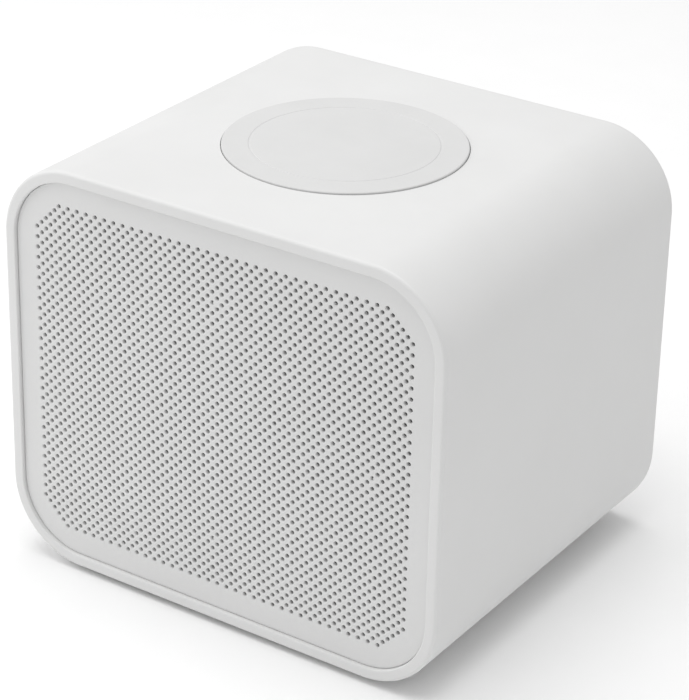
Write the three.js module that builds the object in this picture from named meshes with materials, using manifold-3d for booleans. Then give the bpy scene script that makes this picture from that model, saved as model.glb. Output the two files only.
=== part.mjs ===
// A cube-like wireless loudspeaker whose top charges a phone.
// Millimetres, +Z up. The front grille faces -Y, and the origin is at the middle of the base, on the floor.
import * as THREE from "three";
import { mergeVertices } from "three/addons/utils/BufferGeometryUtils.js";
import Module from "manifold-3d";

const wasm = await Module();
wasm.setup();

// Body
const BODY_WIDTH = 130;
const BODY_HEIGHT = 111;
const BODY_DEPTH = 110;
const CORNER_RADIUS = 21;
const WALL = 3.2;
const FRONT_EDGE = 1;
const REAR_EDGE = 2.4;
const RIM_SETBACK = 1;
const LEDGE_WIDTH = 4;
const LEDGE_THICKNESS = 3;
const COLUMN_RADIUS = 4;

// Fits
const SEAT_GAP = 0.1;
const EDGE_GAP = 0.2;
const CLOTH_GAP = 0.3;
const RUNNING_GAP = 0.2;
const THREAD_GAP = 0.05;
const HOLE_GAP = 0.3;

// Front panel, on the lattice of its perforation
const GRILLE_THICKNESS = 2;
const HOLE_PITCH = 2;
const PEG_RADIUS = 1;
const PEG_LENGTH = 2.6;
const PEG_LAND = 1;
const PEG_COLUMN = 33;
const CLOTH_THICKNESS = 0.4;
const BAFFLE_THICKNESS = 3;

// Screws
const SCREW_RADIUS = 1.2;
const SCREW_HEAD_RADIUS = 2.3;
const SCREW_HEAD_HEIGHT = 1.3;
const LONG_SCREW = 11;
const BOARD_SCREW = 6;
const DRIVER_SCREW = 5.6;

// Loudspeaker driver, measured back from the baffle's rear face
const DRIVER_RADIUS = 35;
const FLANGE_SEAT = 5.5;
const DRIVER_GASKET = 0.6;
const SURROUND_LIP = 2.5;
const SURROUND_ROLL = 4.8;
const FLANGE_THICKNESS = 1.4;
const BASKET_SHEET = 1.2;
const SPIDER_DEPTH = 12.5;
const SPIDER_RADIUS = 20.8;
const BASKET_DEPTH = 19.4;
const CONE_THICKNESS = 0.6;
const CONE_NECK_DEPTH = 10;
const POLE_RADIUS = 7.9;
const COIL_THICKNESS = 0.7;
const COIL_GAP = 0.4;
const COIL_LENGTH = 15;
const PLATE_THICKNESS = 4;
const MAGNET_RADIUS = 22.5;
const MAGNET_THICKNESS = 10;
const DUST_CAP_RADIUS = 10.5;
const DUST_CAP_RISE = 4;

// Charger under the top
const PAD_RADIUS = 31;
const PAD_THICKNESS = 1.4;
const PAD_PROUD = 0.5;
const PAD_EDGE = 0.3;
const COIL_OUTER = 22;
const COIL_INNER = 10;
const COIL_HEIGHT = 1.2;
const FERRITE_SIDE = 50;
const FERRITE_THICKNESS = 1;
const TRAY_LENGTH = 54;
const TRAY_THICKNESS = 1.5;
const TRAY_RIM = 1.2;
const SPACER_RADIUS = 3;
const SPACER_LENGTH = 4.8;
const CHARGER_BOARD_DEPTH = 30;

// Electronics on the floor
const BOARD_THICKNESS = 1.6;
const BOARD_SIDE_SPACE = 19.8;
const BOARD_LIFT = 5.3;
const BOARD_FRONT_SPACE = 15;
const BOARD_REAR_SPACE = 9.5;
const BOARD_POST_RADIUS = 3;
const BOARD_POST_INSET = 5;
const LIGHT_PIPE_RADIUS = 0.9;
const LIGHT_COLUMNS = [-5, -1, 3];
const LIGHT_CLEARANCE = 4.62;

// Rear cover and controls
const COVER_THICKNESS = 3;
const GASKET_THICKNESS = 0.9;
const PANEL_END = 7;
const PANEL_EDGE = 4;
const PANEL_DEPTH = 1.2;
const PANEL_RADIUS = 8;
const PANEL_RISE = 22;
const BUTTON_RADIUS = 5;
const BUTTON_PITCH = 20;
const BUTTON_PROUD = 0.8;
const BUTTON_TRAVEL = 0.8;
const BUTTON_FLANGE = 1;
const STEM_RADIUS = 1.6;
const STEM_LENGTH = 3;
const SWITCH_SIDE = 6;
const SWITCH_HEIGHT = 3.4;
const STAKE_RADIUS = 1.5;
const INLET_WIDTH = 9;
const INLET_HEIGHT = 3.3;
const INLET_LENGTH = 9;
const AUDIO_BORE = 1.8;
const AUDIO_RADIUS = 3.2;
const AUDIO_LENGTH = 13;
const SOCKET_SPACING = 24;

// Feet and leads
const FOOT_RADIUS = 6;
const FOOT_PROUD = 1.5;
const FOOT_POCKET = 1;
const FOOT_INSET_X = 28;
const FOOT_INSET_Y = 17;
const LEAD_RADIUS = 1;

// Planes and outlines worked out from the sizes above
const FRONT = -BODY_DEPTH / 2;
const BACK = BODY_DEPTH / 2;
const CENTRE_Z = FOOT_PROUD + BODY_HEIGHT / 2;
const TOP = FOOT_PROUD + BODY_HEIGHT;
const FLOOR = FOOT_PROUD + WALL;
const CEILING = TOP - WALL;
const CAVITY_WIDTH = BODY_WIDTH - 2 * WALL;
const CAVITY_HEIGHT = BODY_HEIGHT - 2 * WALL;
const CAVITY_RADIUS = CORNER_RADIUS - WALL;
const LATTICE = HOLE_PITCH / Math.SQRT2;
const DRIVER_OPENING = DRIVER_RADIUS - FLANGE_SEAT;
const FLANGE_INNER = DRIVER_OPENING - SURROUND_LIP;
const CONE_RADIUS = FLANGE_INNER - SURROUND_ROLL;

const GRILLE_FRONT = FRONT + RIM_SETBACK;
const GRILLE_BACK = GRILLE_FRONT + GRILLE_THICKNESS;
const CLOTH_FRONT = GRILLE_BACK + CLOTH_GAP;
const CLOTH_BACK = CLOTH_FRONT + CLOTH_THICKNESS;
const BAFFLE_FRONT = CLOTH_BACK + CLOTH_GAP;
const BAFFLE_BACK = BAFFLE_FRONT + BAFFLE_THICKNESS;
const LEDGE_FRONT = BAFFLE_BACK + SEAT_GAP;

const COVER_BACK = BACK - RIM_SETBACK;
const COVER_FRONT = COVER_BACK - COVER_THICKNESS;
const GASKET_BACK = COVER_FRONT - SEAT_GAP;
const GASKET_FRONT = GASKET_BACK - GASKET_THICKNESS;
const LEDGE_BACK = GASKET_FRONT - SEAT_GAP;

const COLUMN_REACH = (CAVITY_RADIUS - 0.8 * COLUMN_RADIUS) * Math.SQRT1_2;
const COLUMN_X = CAVITY_WIDTH / 2 - CAVITY_RADIUS + COLUMN_REACH;
const COLUMN_Z = CAVITY_HEIGHT / 2 - CAVITY_RADIUS + COLUMN_REACH;

const COIL_TOP = CEILING - HOLE_GAP;
const COIL_BOTTOM = COIL_TOP - COIL_HEIGHT;
const FERRITE_TOP = COIL_BOTTOM - SEAT_GAP;
const FERRITE_BOTTOM = FERRITE_TOP - FERRITE_THICKNESS;
const TRAY_TOP = FERRITE_BOTTOM - SEAT_GAP;
const TRAY_BOTTOM = TRAY_TOP - TRAY_THICKNESS;
const SPACER_BOTTOM = TRAY_BOTTOM - SPACER_LENGTH;
const CHARGER_TOP = SPACER_BOTTOM - SEAT_GAP;
const CHARGER_BOTTOM = CHARGER_TOP - BOARD_THICKNESS;
const TRAY_POST_X = FERRITE_SIDE / 2 + EDGE_GAP + TRAY_RIM + SPACER_RADIUS;
const PAD_SEAT = TOP + PAD_PROUD - PAD_THICKNESS;

const BOARD_BOTTOM = FLOOR + BOARD_LIFT;
const BOARD_TOP = BOARD_BOTTOM + BOARD_THICKNESS;
const BOARD_FRONT = FRONT + BOARD_FRONT_SPACE;
const BOARD_BACK = BACK - BOARD_REAR_SPACE;
const BOARD_SEAT = BOARD_TOP + SEAT_GAP;
const BOARD_WIDTH = CAVITY_WIDTH - 2 * BOARD_SIDE_SPACE;

const PANEL_FLOOR = COVER_BACK - PANEL_DEPTH;
const PANEL_Z = CENTRE_Z + PANEL_RISE;
const BUTTON_BACK = PANEL_FLOOR + BUTTON_PROUD;
const FLANGE_BACK = COVER_FRONT - SEAT_GAP;
const STEM_FRONT = FLANGE_BACK - BUTTON_FLANGE - STEM_LENGTH;
const SWITCH_BACK = STEM_FRONT - BUTTON_TRAVEL - SEAT_GAP;
const CONTROL_BACK = SWITCH_BACK - SWITCH_HEIGHT;
const CONTROL_FRONT = CONTROL_BACK - BOARD_THICKNESS;
const PANEL_WIDTH = 3 * BUTTON_PITCH + 2 * (BUTTON_RADIUS + PANEL_END);
const PANEL_HEIGHT = 2 * (BUTTON_RADIUS + PANEL_EDGE);
const STAKE_X = PANEL_WIDTH / 2 - 2 * STAKE_RADIUS;

// Steps round a full circle
const FINE = 36;
const MEDIUM = 20;
const COARSE = 10;
const CORNER_STEPS = 32;

const object = new THREE.Group();

const PAINT = {
  whitePlastic: { color: 0xeeeeec, roughness: 0.55, metalness: 0 },
  blackPlastic: { color: 0x26272a, roughness: 0.6, metalness: 0 },
  greyPlastic: { color: 0x8d9093, roughness: 0.6, metalness: 0 },
  clearPlastic: { color: 0xdfe6ea, roughness: 0.2, metalness: 0 },
  silicone: { color: 0xcfd0cf, roughness: 0.85, metalness: 0 },
  rubber: { color: 0x3a3b3d, roughness: 0.9, metalness: 0 },
  foam: { color: 0x2c2c2c, roughness: 0.95, metalness: 0 },
  cloth: { color: 0xb5b6b5, roughness: 0.95, metalness: 0 },
  paper: { color: 0x1e1e20, roughness: 0.9, metalness: 0 },
  spiderCloth: { color: 0xc79a4a, roughness: 0.9, metalness: 0 },
  copper: { color: 0xb8703c, roughness: 0.35, metalness: 1 },
  ferrite: { color: 0x3d3f42, roughness: 0.7, metalness: 0.1 },
  steel: { color: 0xa9acae, roughness: 0.35, metalness: 1 },
  zinc: { color: 0xc3c6c8, roughness: 0.4, metalness: 1 },
  aluminium: { color: 0xb9bcbf, roughness: 0.4, metalness: 1 },
  board: { color: 0x1f5a3a, roughness: 0.5, metalness: 0 },
  sleeve: { color: 0x22375f, roughness: 0.5, metalness: 0 },
};

// Adds one named piece to a group.
function addPiece(group, name, paint, geometry) {
  const shape = geometry.index ? geometry.toNonIndexed() : geometry;
  shape.computeVertexNormals();
  const mesh = new THREE.Mesh(shape, new THREE.MeshStandardMaterial(PAINT[paint]));
  mesh.name = name;
  group.add(mesh);
}

// Turns a closed geometry into a solid for joining and cutting. Triangles that a pole closes up are dropped.
function toSolid(geometry) {
  const bare = geometry.clone();
  bare.deleteAttribute("normal");
  bare.deleteAttribute("uv");
  const merged = mergeVertices(bare, 1e-4);
  const corners = Array.from(merged.index.array);
  const kept = [];
  for (let i = 0; i < corners.length; i += 3) {
    const [a, b, c] = corners.slice(i, i + 3);
    if (a !== b && b !== c && c !== a) kept.push(a, b, c);
  }
  const vertProperties = new Float32Array(merged.attributes.position.array);
  const mesh = new wasm.Mesh({ numProp: 3, vertProperties, triVerts: new Uint32Array(kept) });
  return new wasm.Manifold(mesh);
}

// Joins the added geometries to the first, then takes the cutters away.
function carve(base, added, cutters) {
  let solid = toSolid(base);
  for (const piece of added) solid = solid.add(toSolid(piece));
  for (const cutter of cutters) solid = solid.subtract(toSolid(cutter));
  const mesh = solid.getMesh();
  const geometry = new THREE.BufferGeometry();
  geometry.setAttribute("position", new THREE.BufferAttribute(mesh.vertProperties, 3));
  geometry.setIndex(new THREE.BufferAttribute(mesh.triVerts, 1));
  return geometry;
}

// A rounded rectangle about the origin.
function roundedOutline(width, height, radius) {
  const x = width / 2 - radius;
  const y = height / 2 - radius;
  const quarter = Math.PI / 2;
  const outline = new THREE.Shape();
  outline.absarc(x, y, radius, 0, quarter);
  outline.absarc(-x, y, radius, quarter, 2 * quarter);
  outline.absarc(-x, -y, radius, 2 * quarter, 3 * quarter);
  outline.absarc(x, -y, radius, 3 * quarter, 4 * quarter);
  return outline;
}

// A slab between two planes across Y, from an outline in X and Z that is lifted to a height.
// The steps are those of a full circle; edge rounds both faces inwards from the outline.
function slab(outline, front, back, height, steps, edge = 0) {
  const geometry = new THREE.ExtrudeGeometry(outline, {
    depth: back - front - 2 * edge,
    bevelEnabled: edge > 0,
    bevelThickness: edge,
    bevelSize: edge,
    bevelOffset: -edge,
    bevelSegments: 2,
    curveSegments: steps / 8,
  });
  return geometry.rotateX(Math.PI / 2).translate(0, back - edge, height);
}

// A box given by its two corners.
function block(low, high) {
  const size = high.map((value, axis) => value - low[axis]);
  const middle = high.map((value, axis) => (value + low[axis]) / 2);
  return new THREE.BoxGeometry(...size).translate(...middle);
}

// A round bar along Y.
function bar(radius, front, back, x, z, steps = COARSE) {
  const geometry = new THREE.CylinderGeometry(radius, radius, back - front, steps);
  return geometry.translate(x, (front + back) / 2, z);
}

// A round post along Z.
function post(radius, bottom, top, x, y, steps = COARSE) {
  const geometry = new THREE.CylinderGeometry(radius, radius, top - bottom, steps);
  return geometry.rotateX(Math.PI / 2).translate(x, y, (bottom + top) / 2);
}

// A body turned about the Y axis from [radius, y] points, its faces outwards.
function turned(points, steps, closed = true) {
  const profile = points.map(([radius, y]) => new THREE.Vector2(radius, y));
  if (THREE.ShapeUtils.area(profile) < 0) profile.reverse();
  if (closed) profile.push(profile[0].clone());
  return new THREE.LatheGeometry(profile, steps);
}

// A flat ring about the Y axis.
function ring(inner, outer, front, back, steps) {
  return turned([[inner, front], [outer, front], [outer, back], [inner, back]], steps);
}

// A screw along +Y, with the outside of its head at y = 0.
function screw(length) {
  const head = SCREW_HEAD_HEIGHT;
  const points = [
    [0, 0],
    [SCREW_HEAD_RADIUS, 0],
    [SCREW_HEAD_RADIUS, head],
    [SCREW_RADIUS, head],
    [SCREW_RADIUS, length - 1],
    [0, length],
  ];
  return turned(points, COARSE, false);
}

// The same place in each quarter: signs for left and right, and for the second axis.
const QUARTERS = [[-1, -1], [1, -1], [1, 1], [-1, 1]];

// The sleeve: rounded block, hollow right through, with a ledge inside each end, four screw columns,
// posts for the board and the charger, pockets for the feet and a shallow seat for the pad.
function mainShell() {
  const outline = roundedOutline(BODY_WIDTH, BODY_HEIGHT, CORNER_RADIUS);
  const frontPart = slab(outline, FRONT, 2 * REAR_EDGE, CENTRE_Z, CORNER_STEPS, FRONT_EDGE);
  const rearPart = slab(outline, -2 * REAR_EDGE, BACK, CENTRE_Z, CORNER_STEPS, REAR_EDGE);
  const mouth = roundedOutline(CAVITY_WIDTH, CAVITY_HEIGHT, CAVITY_RADIUS);
  const throat = roundedOutline(
    CAVITY_WIDTH - 2 * LEDGE_WIDTH,
    CAVITY_HEIGHT - 2 * LEDGE_WIDTH,
    CAVITY_RADIUS - LEDGE_WIDTH,
  );
  const hollows = [
    slab(mouth, FRONT - 1, LEDGE_FRONT, CENTRE_Z, CORNER_STEPS),
    slab(mouth, LEDGE_FRONT + LEDGE_THICKNESS, LEDGE_BACK - LEDGE_THICKNESS, CENTRE_Z, CORNER_STEPS),
    slab(mouth, LEDGE_BACK, BACK + 1, CENTRE_Z, CORNER_STEPS),
    slab(throat, FRONT, BACK, CENTRE_Z, CORNER_STEPS),
  ];
  const sleeve = carve(frontPart, [rearPart], hollows);

  const posts = [];
  const cuts = [];
  for (const [sx, sz] of QUARTERS) {
    const x = sx * COLUMN_X;
    const z = CENTRE_Z + sz * COLUMN_Z;
    const depth = LONG_SCREW;
    const pilot = SCREW_RADIUS + THREAD_GAP;
    posts.push(bar(COLUMN_RADIUS, LEDGE_FRONT, LEDGE_BACK, x, z));
    cuts.push(bar(pilot, LEDGE_FRONT - 1, LEDGE_FRONT + depth, x, z));
    cuts.push(bar(pilot, LEDGE_BACK - depth, LEDGE_BACK + 1, x, z));
  }
  for (const [x, y] of boardPosts()) {
    posts.push(post(BOARD_POST_RADIUS, FLOOR - WALL / 2, BOARD_BOTTOM - SEAT_GAP, x, y));
    cuts.push(post(SCREW_RADIUS + THREAD_GAP, FLOOR, BOARD_BOTTOM, x, y));
  }
  for (const side of [-1, 1]) {
    const x = side * TRAY_POST_X;
    posts.push(post(SPACER_RADIUS, TRAY_TOP + SEAT_GAP, CEILING + WALL / 4, x, 0));
    cuts.push(post(SCREW_RADIUS + THREAD_GAP, TRAY_TOP, CEILING + WALL / 4, x, 0));
  }
  for (const [x, y] of footPlaces()) {
    cuts.push(post(FOOT_RADIUS + EDGE_GAP, FOOT_PROUD - 1, FOOT_PROUD + FOOT_POCKET, x, y, MEDIUM));
  }
  for (const [x, z] of lightPlaces()) {
    cuts.push(bar(LIGHT_PIPE_RADIUS + RUNNING_GAP, LEDGE_FRONT - 1, LEDGE_FRONT + LEDGE_THICKNESS + 1, x, z));
  }
  cuts.push(post(PAD_RADIUS + EDGE_GAP, PAD_SEAT - SEAT_GAP, TOP + 1, 0, 0, FINE));
  return carve(sleeve, posts, cuts);
}

// The middles of the board's posts.
function boardPosts() {
  const x = BOARD_WIDTH / 2 - BOARD_POST_INSET;
  const front = BOARD_FRONT + BOARD_POST_INSET;
  const back = BOARD_BACK - BOARD_POST_INSET;
  return [[-x, front], [x, front], [x, back], [-x, back]];
}

// The middles of the feet.
function footPlaces() {
  const x = BODY_WIDTH / 2 - FOOT_INSET_X;
  const y = BODY_DEPTH / 2 - FOOT_INSET_Y;
  return QUARTERS.map(([sx, sy]) => [sx * x, sy * y]);
}

// A lattice site of the perforation as a place in X and Z. A site is a hole where its two numbers add up
// to an even one.
function latticePlace([column, row]) {
  return [column * LATTICE, CENTRE_Z + row * LATTICE];
}

// The first odd lattice number that lies at least this far from the centre.
function oddSite(distance) {
  return 2 * Math.ceil((distance / LATTICE - 1) / 2) + 1;
}

// The pegs stand between holes, just above and below the driver's opening and far out at each side.
function pegPlaces() {
  const row = oddSite(DRIVER_OPENING + PEG_RADIUS + PEG_LAND);
  return [[0, row], [0, -row], [PEG_COLUMN, 0], [-PEG_COLUMN, 0]].map(latticePlace);
}

// The lit holes, in one row below the driver.
function lightPlaces() {
  const row = -oddSite(DRIVER_RADIUS + LIGHT_CLEARANCE);
  return LIGHT_COLUMNS.map((column) => latticePlace([column, row]));
}

// The outline of what lies inside the mouth with a gap all round.
function insertOutline(gap) {
  return roundedOutline(CAVITY_WIDTH - 2 * gap, CAVITY_HEIGHT - 2 * gap, CAVITY_RADIUS - gap);
}

// The front panel, with four pegs moulded behind it.
function frontGrille() {
  const panel = slab(insertOutline(EDGE_GAP), GRILLE_FRONT, GRILLE_BACK, CENTRE_Z, CORNER_STEPS);
  const pegs = [];
  for (const [x, z] of pegPlaces()) {
    pegs.push(bar(PEG_RADIUS, GRILLE_BACK - 0.5, GRILLE_BACK + PEG_LENGTH, x, z));
  }
  return carve(panel, pegs, []);
}

// Acoustic cloth glued behind the panel, with a hole for each peg.
function grilleCloth() {
  const cloth = slab(insertOutline(4 * EDGE_GAP), CLOTH_FRONT, CLOTH_BACK, CENTRE_Z, CORNER_STEPS);
  const holes = [];
  for (const [x, z] of pegPlaces()) {
    holes.push(bar(PEG_RADIUS + HOLE_GAP, CLOTH_FRONT - 1, CLOTH_BACK + 1, x, z));
  }
  return carve(cloth, [], holes);
}

// The baffle that carries the driver: a round opening, sunk screw holes, peg holes and light holes.
function frontBaffle() {
  const sheet = slab(insertOutline(EDGE_GAP), BAFFLE_FRONT, BAFFLE_BACK, CENTRE_Z, CORNER_STEPS);
  const past = 1;
  const cuts = [bar(DRIVER_OPENING, BAFFLE_FRONT - past, BAFFLE_BACK + past, 0, CENTRE_Z, FINE)];
  for (const [sx, sz] of QUARTERS) {
    const x = sx * COLUMN_X;
    const z = CENTRE_Z + sz * COLUMN_Z;
    cuts.push(bar(SCREW_RADIUS + HOLE_GAP, BAFFLE_FRONT - past, BAFFLE_BACK + past, x, z));
    cuts.push(bar(SCREW_HEAD_RADIUS + HOLE_GAP, BAFFLE_FRONT - past, bafflePocket(), x, z));
  }
  for (const [x, z] of pegPlaces()) {
    cuts.push(bar(PEG_RADIUS + RUNNING_GAP, BAFFLE_FRONT - past, GRILLE_BACK + PEG_LENGTH + SEAT_GAP, x, z));
  }
  for (const [x, z] of lightPlaces()) {
    cuts.push(bar(LIGHT_PIPE_RADIUS + RUNNING_GAP, BAFFLE_FRONT - past, BAFFLE_BACK + past, x, z));
  }
  for (const [x, z] of driverScrewPlaces()) {
    cuts.push(bar(SCREW_RADIUS + THREAD_GAP, BAFFLE_BACK - 2.4, BAFFLE_BACK + past, x, CENTRE_Z + z));
  }
  return carve(sheet, [], cuts);
}

// The floor of the pockets that sink the baffle's screw heads.
function bafflePocket() {
  return BAFFLE_FRONT + SCREW_HEAD_HEIGHT + SEAT_GAP + RUNNING_GAP;
}

// The driver's screws, at 45 degrees round its flange, from the driver's axis.
function driverScrewPlaces() {
  const reach = (DRIVER_RADIUS - SCREW_HEAD_RADIUS - RUNNING_GAP) * Math.SQRT1_2;
  return QUARTERS.map(([sx, sz]) => [sx * reach, sz * reach]);
}

// Driver pieces are turned about the driver's own axis, with y = 0 on the baffle's rear face.
const GASKET_END = SEAT_GAP + DRIVER_GASKET;
const FLANGE_START = GASKET_END + SEAT_GAP;
const FLANGE_END = FLANGE_START + FLANGE_THICKNESS;
const PLATE_START = BASKET_DEPTH + SEAT_GAP;
const PLATE_END = PLATE_START + PLATE_THICKNESS;
const MAGNET_START = PLATE_END + SEAT_GAP;
const MAGNET_END = MAGNET_START + MAGNET_THICKNESS;
const YOKE_START = MAGNET_END + SEAT_GAP;
const YOKE_END = YOKE_START + PLATE_THICKNESS;
const VOICE_INNER = POLE_RADIUS + COIL_GAP;
const VOICE_OUTER = VOICE_INNER + COIL_THICKNESS;
const CONE_RIM = CONE_RADIUS - 1.4;
const CONE_FRONT = GASKET_END - 0.3;

// A foam ring between flange and baffle.
function driverGasket() {
  const foam = ring(DRIVER_OPENING + 0.5, DRIVER_RADIUS, SEAT_GAP, GASKET_END, MEDIUM);
  const holes = driverScrewPlaces().map(([x, z]) => bar(SCREW_RADIUS + HOLE_GAP, -1, GASKET_END + 1, x, z));
  return carve(foam, [], holes);
}

// The pressed basket: flange, windowed cone, landing for the spider and the seat of the front plate.
function driverBasket() {
  const tube = SPIDER_RADIUS - 1.3;
  const shoulder = SPIDER_RADIUS + 0.2;
  const body = turned(
    [
      [FLANGE_INNER, FLANGE_START],
      [DRIVER_RADIUS, FLANGE_START],
      [DRIVER_RADIUS, FLANGE_END],
      [FLANGE_INNER + 1.5 * BASKET_SHEET, FLANGE_END],
      [shoulder + BASKET_SHEET, SPIDER_DEPTH],
      [shoulder + BASKET_SHEET, SPIDER_DEPTH + BASKET_SHEET],
      [tube + BASKET_SHEET, SPIDER_DEPTH + BASKET_SHEET],
      [tube + BASKET_SHEET, BASKET_DEPTH],
      [VOICE_OUTER + 3, BASKET_DEPTH],
      [VOICE_OUTER + 3, BASKET_DEPTH - BASKET_SHEET],
      [tube, BASKET_DEPTH - BASKET_SHEET],
      [tube, SPIDER_DEPTH],
      [shoulder, SPIDER_DEPTH],
      [FLANGE_INNER, FLANGE_END],
    ],
    MEDIUM,
  );
  const cuts = driverScrewPlaces().map(([x, z]) => bar(SCREW_RADIUS + HOLE_GAP, 0, FLANGE_END + 1, x, z));
  const start = FLANGE_END + 1.6;
  const end = SPIDER_DEPTH - 1;
  const half = 11;
  const reach = DRIVER_RADIUS;
  cuts.push(block([-reach, start, -half], [reach, end, half]));
  cuts.push(block([-half, start, -reach], [half, end, reach]));
  return carve(body, [], cuts);
}

// The rubber roll between the flange and the cone: two flat lips and a half-round between them.
function driverSurround() {
  const inner = CONE_RADIUS + 0.1;
  const outer = FLANGE_INNER - 0.2;
  const sheet = 0.5;
  const steps = 6;
  const innerFront = CONE_FRONT - SEAT_GAP - sheet;
  const outerFront = FLANGE_START - SEAT_GAP - sheet;
  const roll = (margin, lift) => {
    const points = [];
    const half = (outer - inner) / 2 - margin;
    for (let i = 0; i <= steps; i += 1) {
      const angle = (i / steps) * Math.PI;
      const y = THREE.MathUtils.lerp(innerFront, outerFront, i / steps) + lift;
      points.push([(inner + outer) / 2 - half * Math.cos(angle), y - half * Math.sin(angle)]);
    }
    return points;
  };
  const front = [[CONE_RIM, innerFront], ...roll(0, 0), [DRIVER_OPENING - RUNNING_GAP, outerFront]];
  const behind = [[CONE_RIM, innerFront + sheet], ...roll(sheet, sheet)];
  behind.push([DRIVER_OPENING - RUNNING_GAP, outerFront + sheet]);
  return turned([...front, ...behind.reverse()], MEDIUM);
}

// The paper cone with its flat rim.
function driverCone() {
  const neck = VOICE_INNER + 0.1;
  return turned(
    [
      [neck, CONE_NECK_DEPTH],
      [CONE_RIM, CONE_FRONT],
      [CONE_RADIUS, CONE_FRONT],
      [CONE_RADIUS, CONE_FRONT + CONE_THICKNESS],
      [CONE_RIM + 0.3, CONE_FRONT + CONE_THICKNESS],
      [neck + 1, CONE_NECK_DEPTH + CONE_THICKNESS],
      [neck, CONE_NECK_DEPTH + CONE_THICKNESS],
    ],
    MEDIUM,
  );
}

// The domed dust cap, glued on the cone where the cone has the cap's radius.
function driverDustCap() {
  const neck = VOICE_INNER + 0.1;
  const slope = (CONE_NECK_DEPTH - CONE_FRONT) / (CONE_RIM - neck);
  const base = CONE_NECK_DEPTH - (DUST_CAP_RADIUS - neck) * slope - SEAT_GAP;
  const points = [];
  const steps = 4;
  for (let i = 0; i <= steps; i += 1) {
    const angle = (i / steps) * (Math.PI / 2);
    points.push([DUST_CAP_RADIUS * Math.sin(angle), base - DUST_CAP_RISE * Math.cos(angle)]);
  }
  for (let i = steps; i >= 0; i -= 1) {
    const angle = (i / steps) * (Math.PI / 2);
    const radius = (DUST_CAP_RADIUS - CONE_THICKNESS) * Math.sin(angle);
    points.push([radius, base - (DUST_CAP_RISE - CONE_THICKNESS) * Math.cos(angle)]);
  }
  return turned(points, MEDIUM, false);
}

// The corrugated spider that centres the coil, on the basket's landing. Its neck stands back a little, so
// the cone clears it at full travel.
function driverSpider() {
  const folds = 8;
  const inner = VOICE_OUTER + 0.1;
  const neckStep = 0.3;
  const flatStart = inner + 1.2;
  const flatEnd = SPIDER_RADIUS - 1.4;
  const height = 0.6;
  const sheet = 0.4;
  const level = SPIDER_DEPTH - SEAT_GAP - sheet;
  const front = [[inner, level + neckStep], [inner + 0.5, level + neckStep]];
  for (let i = 0; i <= folds; i += 1) {
    const radius = THREE.MathUtils.lerp(flatStart, flatEnd, i / folds);
    front.push([radius, i % 2 === 0 ? level : level - height]);
  }
  front.push([SPIDER_RADIUS, level]);
  const behind = front.map(([radius, y]) => [radius, y + sheet]).reverse();
  return turned([...front, ...behind], MEDIUM);
}

// The voice coil on its former, in the gap between pole and front plate.
function driverVoiceCoil() {
  const start = CONE_NECK_DEPTH + CONE_THICKNESS + SEAT_GAP;
  return ring(VOICE_INNER, VOICE_OUTER, start, start + COIL_LENGTH, MEDIUM);
}

function driverFrontPlate() {
  return ring(VOICE_OUTER + COIL_GAP, SPIDER_RADIUS, PLATE_START, PLATE_END, MEDIUM);
}

function driverMagnet() {
  return ring(VOICE_OUTER + 2, MAGNET_RADIUS, MAGNET_START, MAGNET_END, MEDIUM);
}

// The yoke: a back plate and the pole that stands through the magnet.
function driverYoke() {
  const points = [
    [0, PLATE_START],
    [POLE_RADIUS, PLATE_START],
    [POLE_RADIUS, YOKE_START],
    [SPIDER_RADIUS, YOKE_START],
    [SPIDER_RADIUS, YOKE_END],
    [0, YOKE_END],
  ];
  return turned(points, MEDIUM, false);
}

// The tag strip on top of the basket's tube: a card with two lugs.
function driverTerminals() {
  const seat = SPIDER_RADIUS + SEAT_GAP;
  const start = SPIDER_DEPTH + BASKET_SHEET + 0.5;
  const card = block([-6, start, seat], [6, BASKET_DEPTH, seat + 1.4]);
  const lugs = [-3.5, 3.5].map((x) => block([x - 1, start + 1, seat], [x + 1, start + 3, seat + 4]));
  return carve(card, lugs, []);
}

// The silicone pad that keeps the phone from sliding.
function chargingPad() {
  const high = TOP + PAD_PROUD;
  const points = [
    [0, PAD_SEAT],
    [PAD_RADIUS, PAD_SEAT],
    [PAD_RADIUS, high - PAD_EDGE],
    [PAD_RADIUS - PAD_EDGE, high],
    [0, high],
  ];
  return turned(points, FINE, false).rotateX(Math.PI / 2);
}

// The flat wound coil.
function chargingCoil() {
  return ring(COIL_INNER, COIL_OUTER, COIL_BOTTOM, COIL_TOP, FINE).rotateX(Math.PI / 2);
}

function ferriteSheet() {
  const half = FERRITE_SIDE / 2;
  return block([-half, -half, FERRITE_BOTTOM], [half, half, FERRITE_TOP]);
}

// The tray under the coil: a plate with a rim round the ferrite, an ear each side and a spacer under
// each ear.
function coilTray() {
  const inner = FERRITE_SIDE / 2 + EDGE_GAP;
  const outer = inner + TRAY_RIM;
  const half = TRAY_LENGTH / 2;
  const base = block([-outer, -half, TRAY_BOTTOM], [outer, half, COIL_BOTTOM]);
  const added = [];
  const cuts = [block([-inner, -inner, TRAY_TOP], [inner, inner, COIL_TOP])];
  for (const side of [-1, 1]) {
    const x = side * TRAY_POST_X;
    const near = Math.min(side * (outer - 1), side * (outer + 2 * SPACER_RADIUS));
    const far = Math.max(side * (outer - 1), side * (outer + 2 * SPACER_RADIUS));
    added.push(block([near, -SPACER_RADIUS - 2, TRAY_BOTTOM], [far, SPACER_RADIUS + 2, TRAY_TOP]));
    added.push(post(SPACER_RADIUS, SPACER_BOTTOM, TRAY_BOTTOM + 0.5, x, 0));
    cuts.push(post(SCREW_RADIUS + HOLE_GAP, SPACER_BOTTOM - 1, TRAY_TOP + 1, x, 0));
  }
  return carve(base, added, cuts);
}

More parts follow.
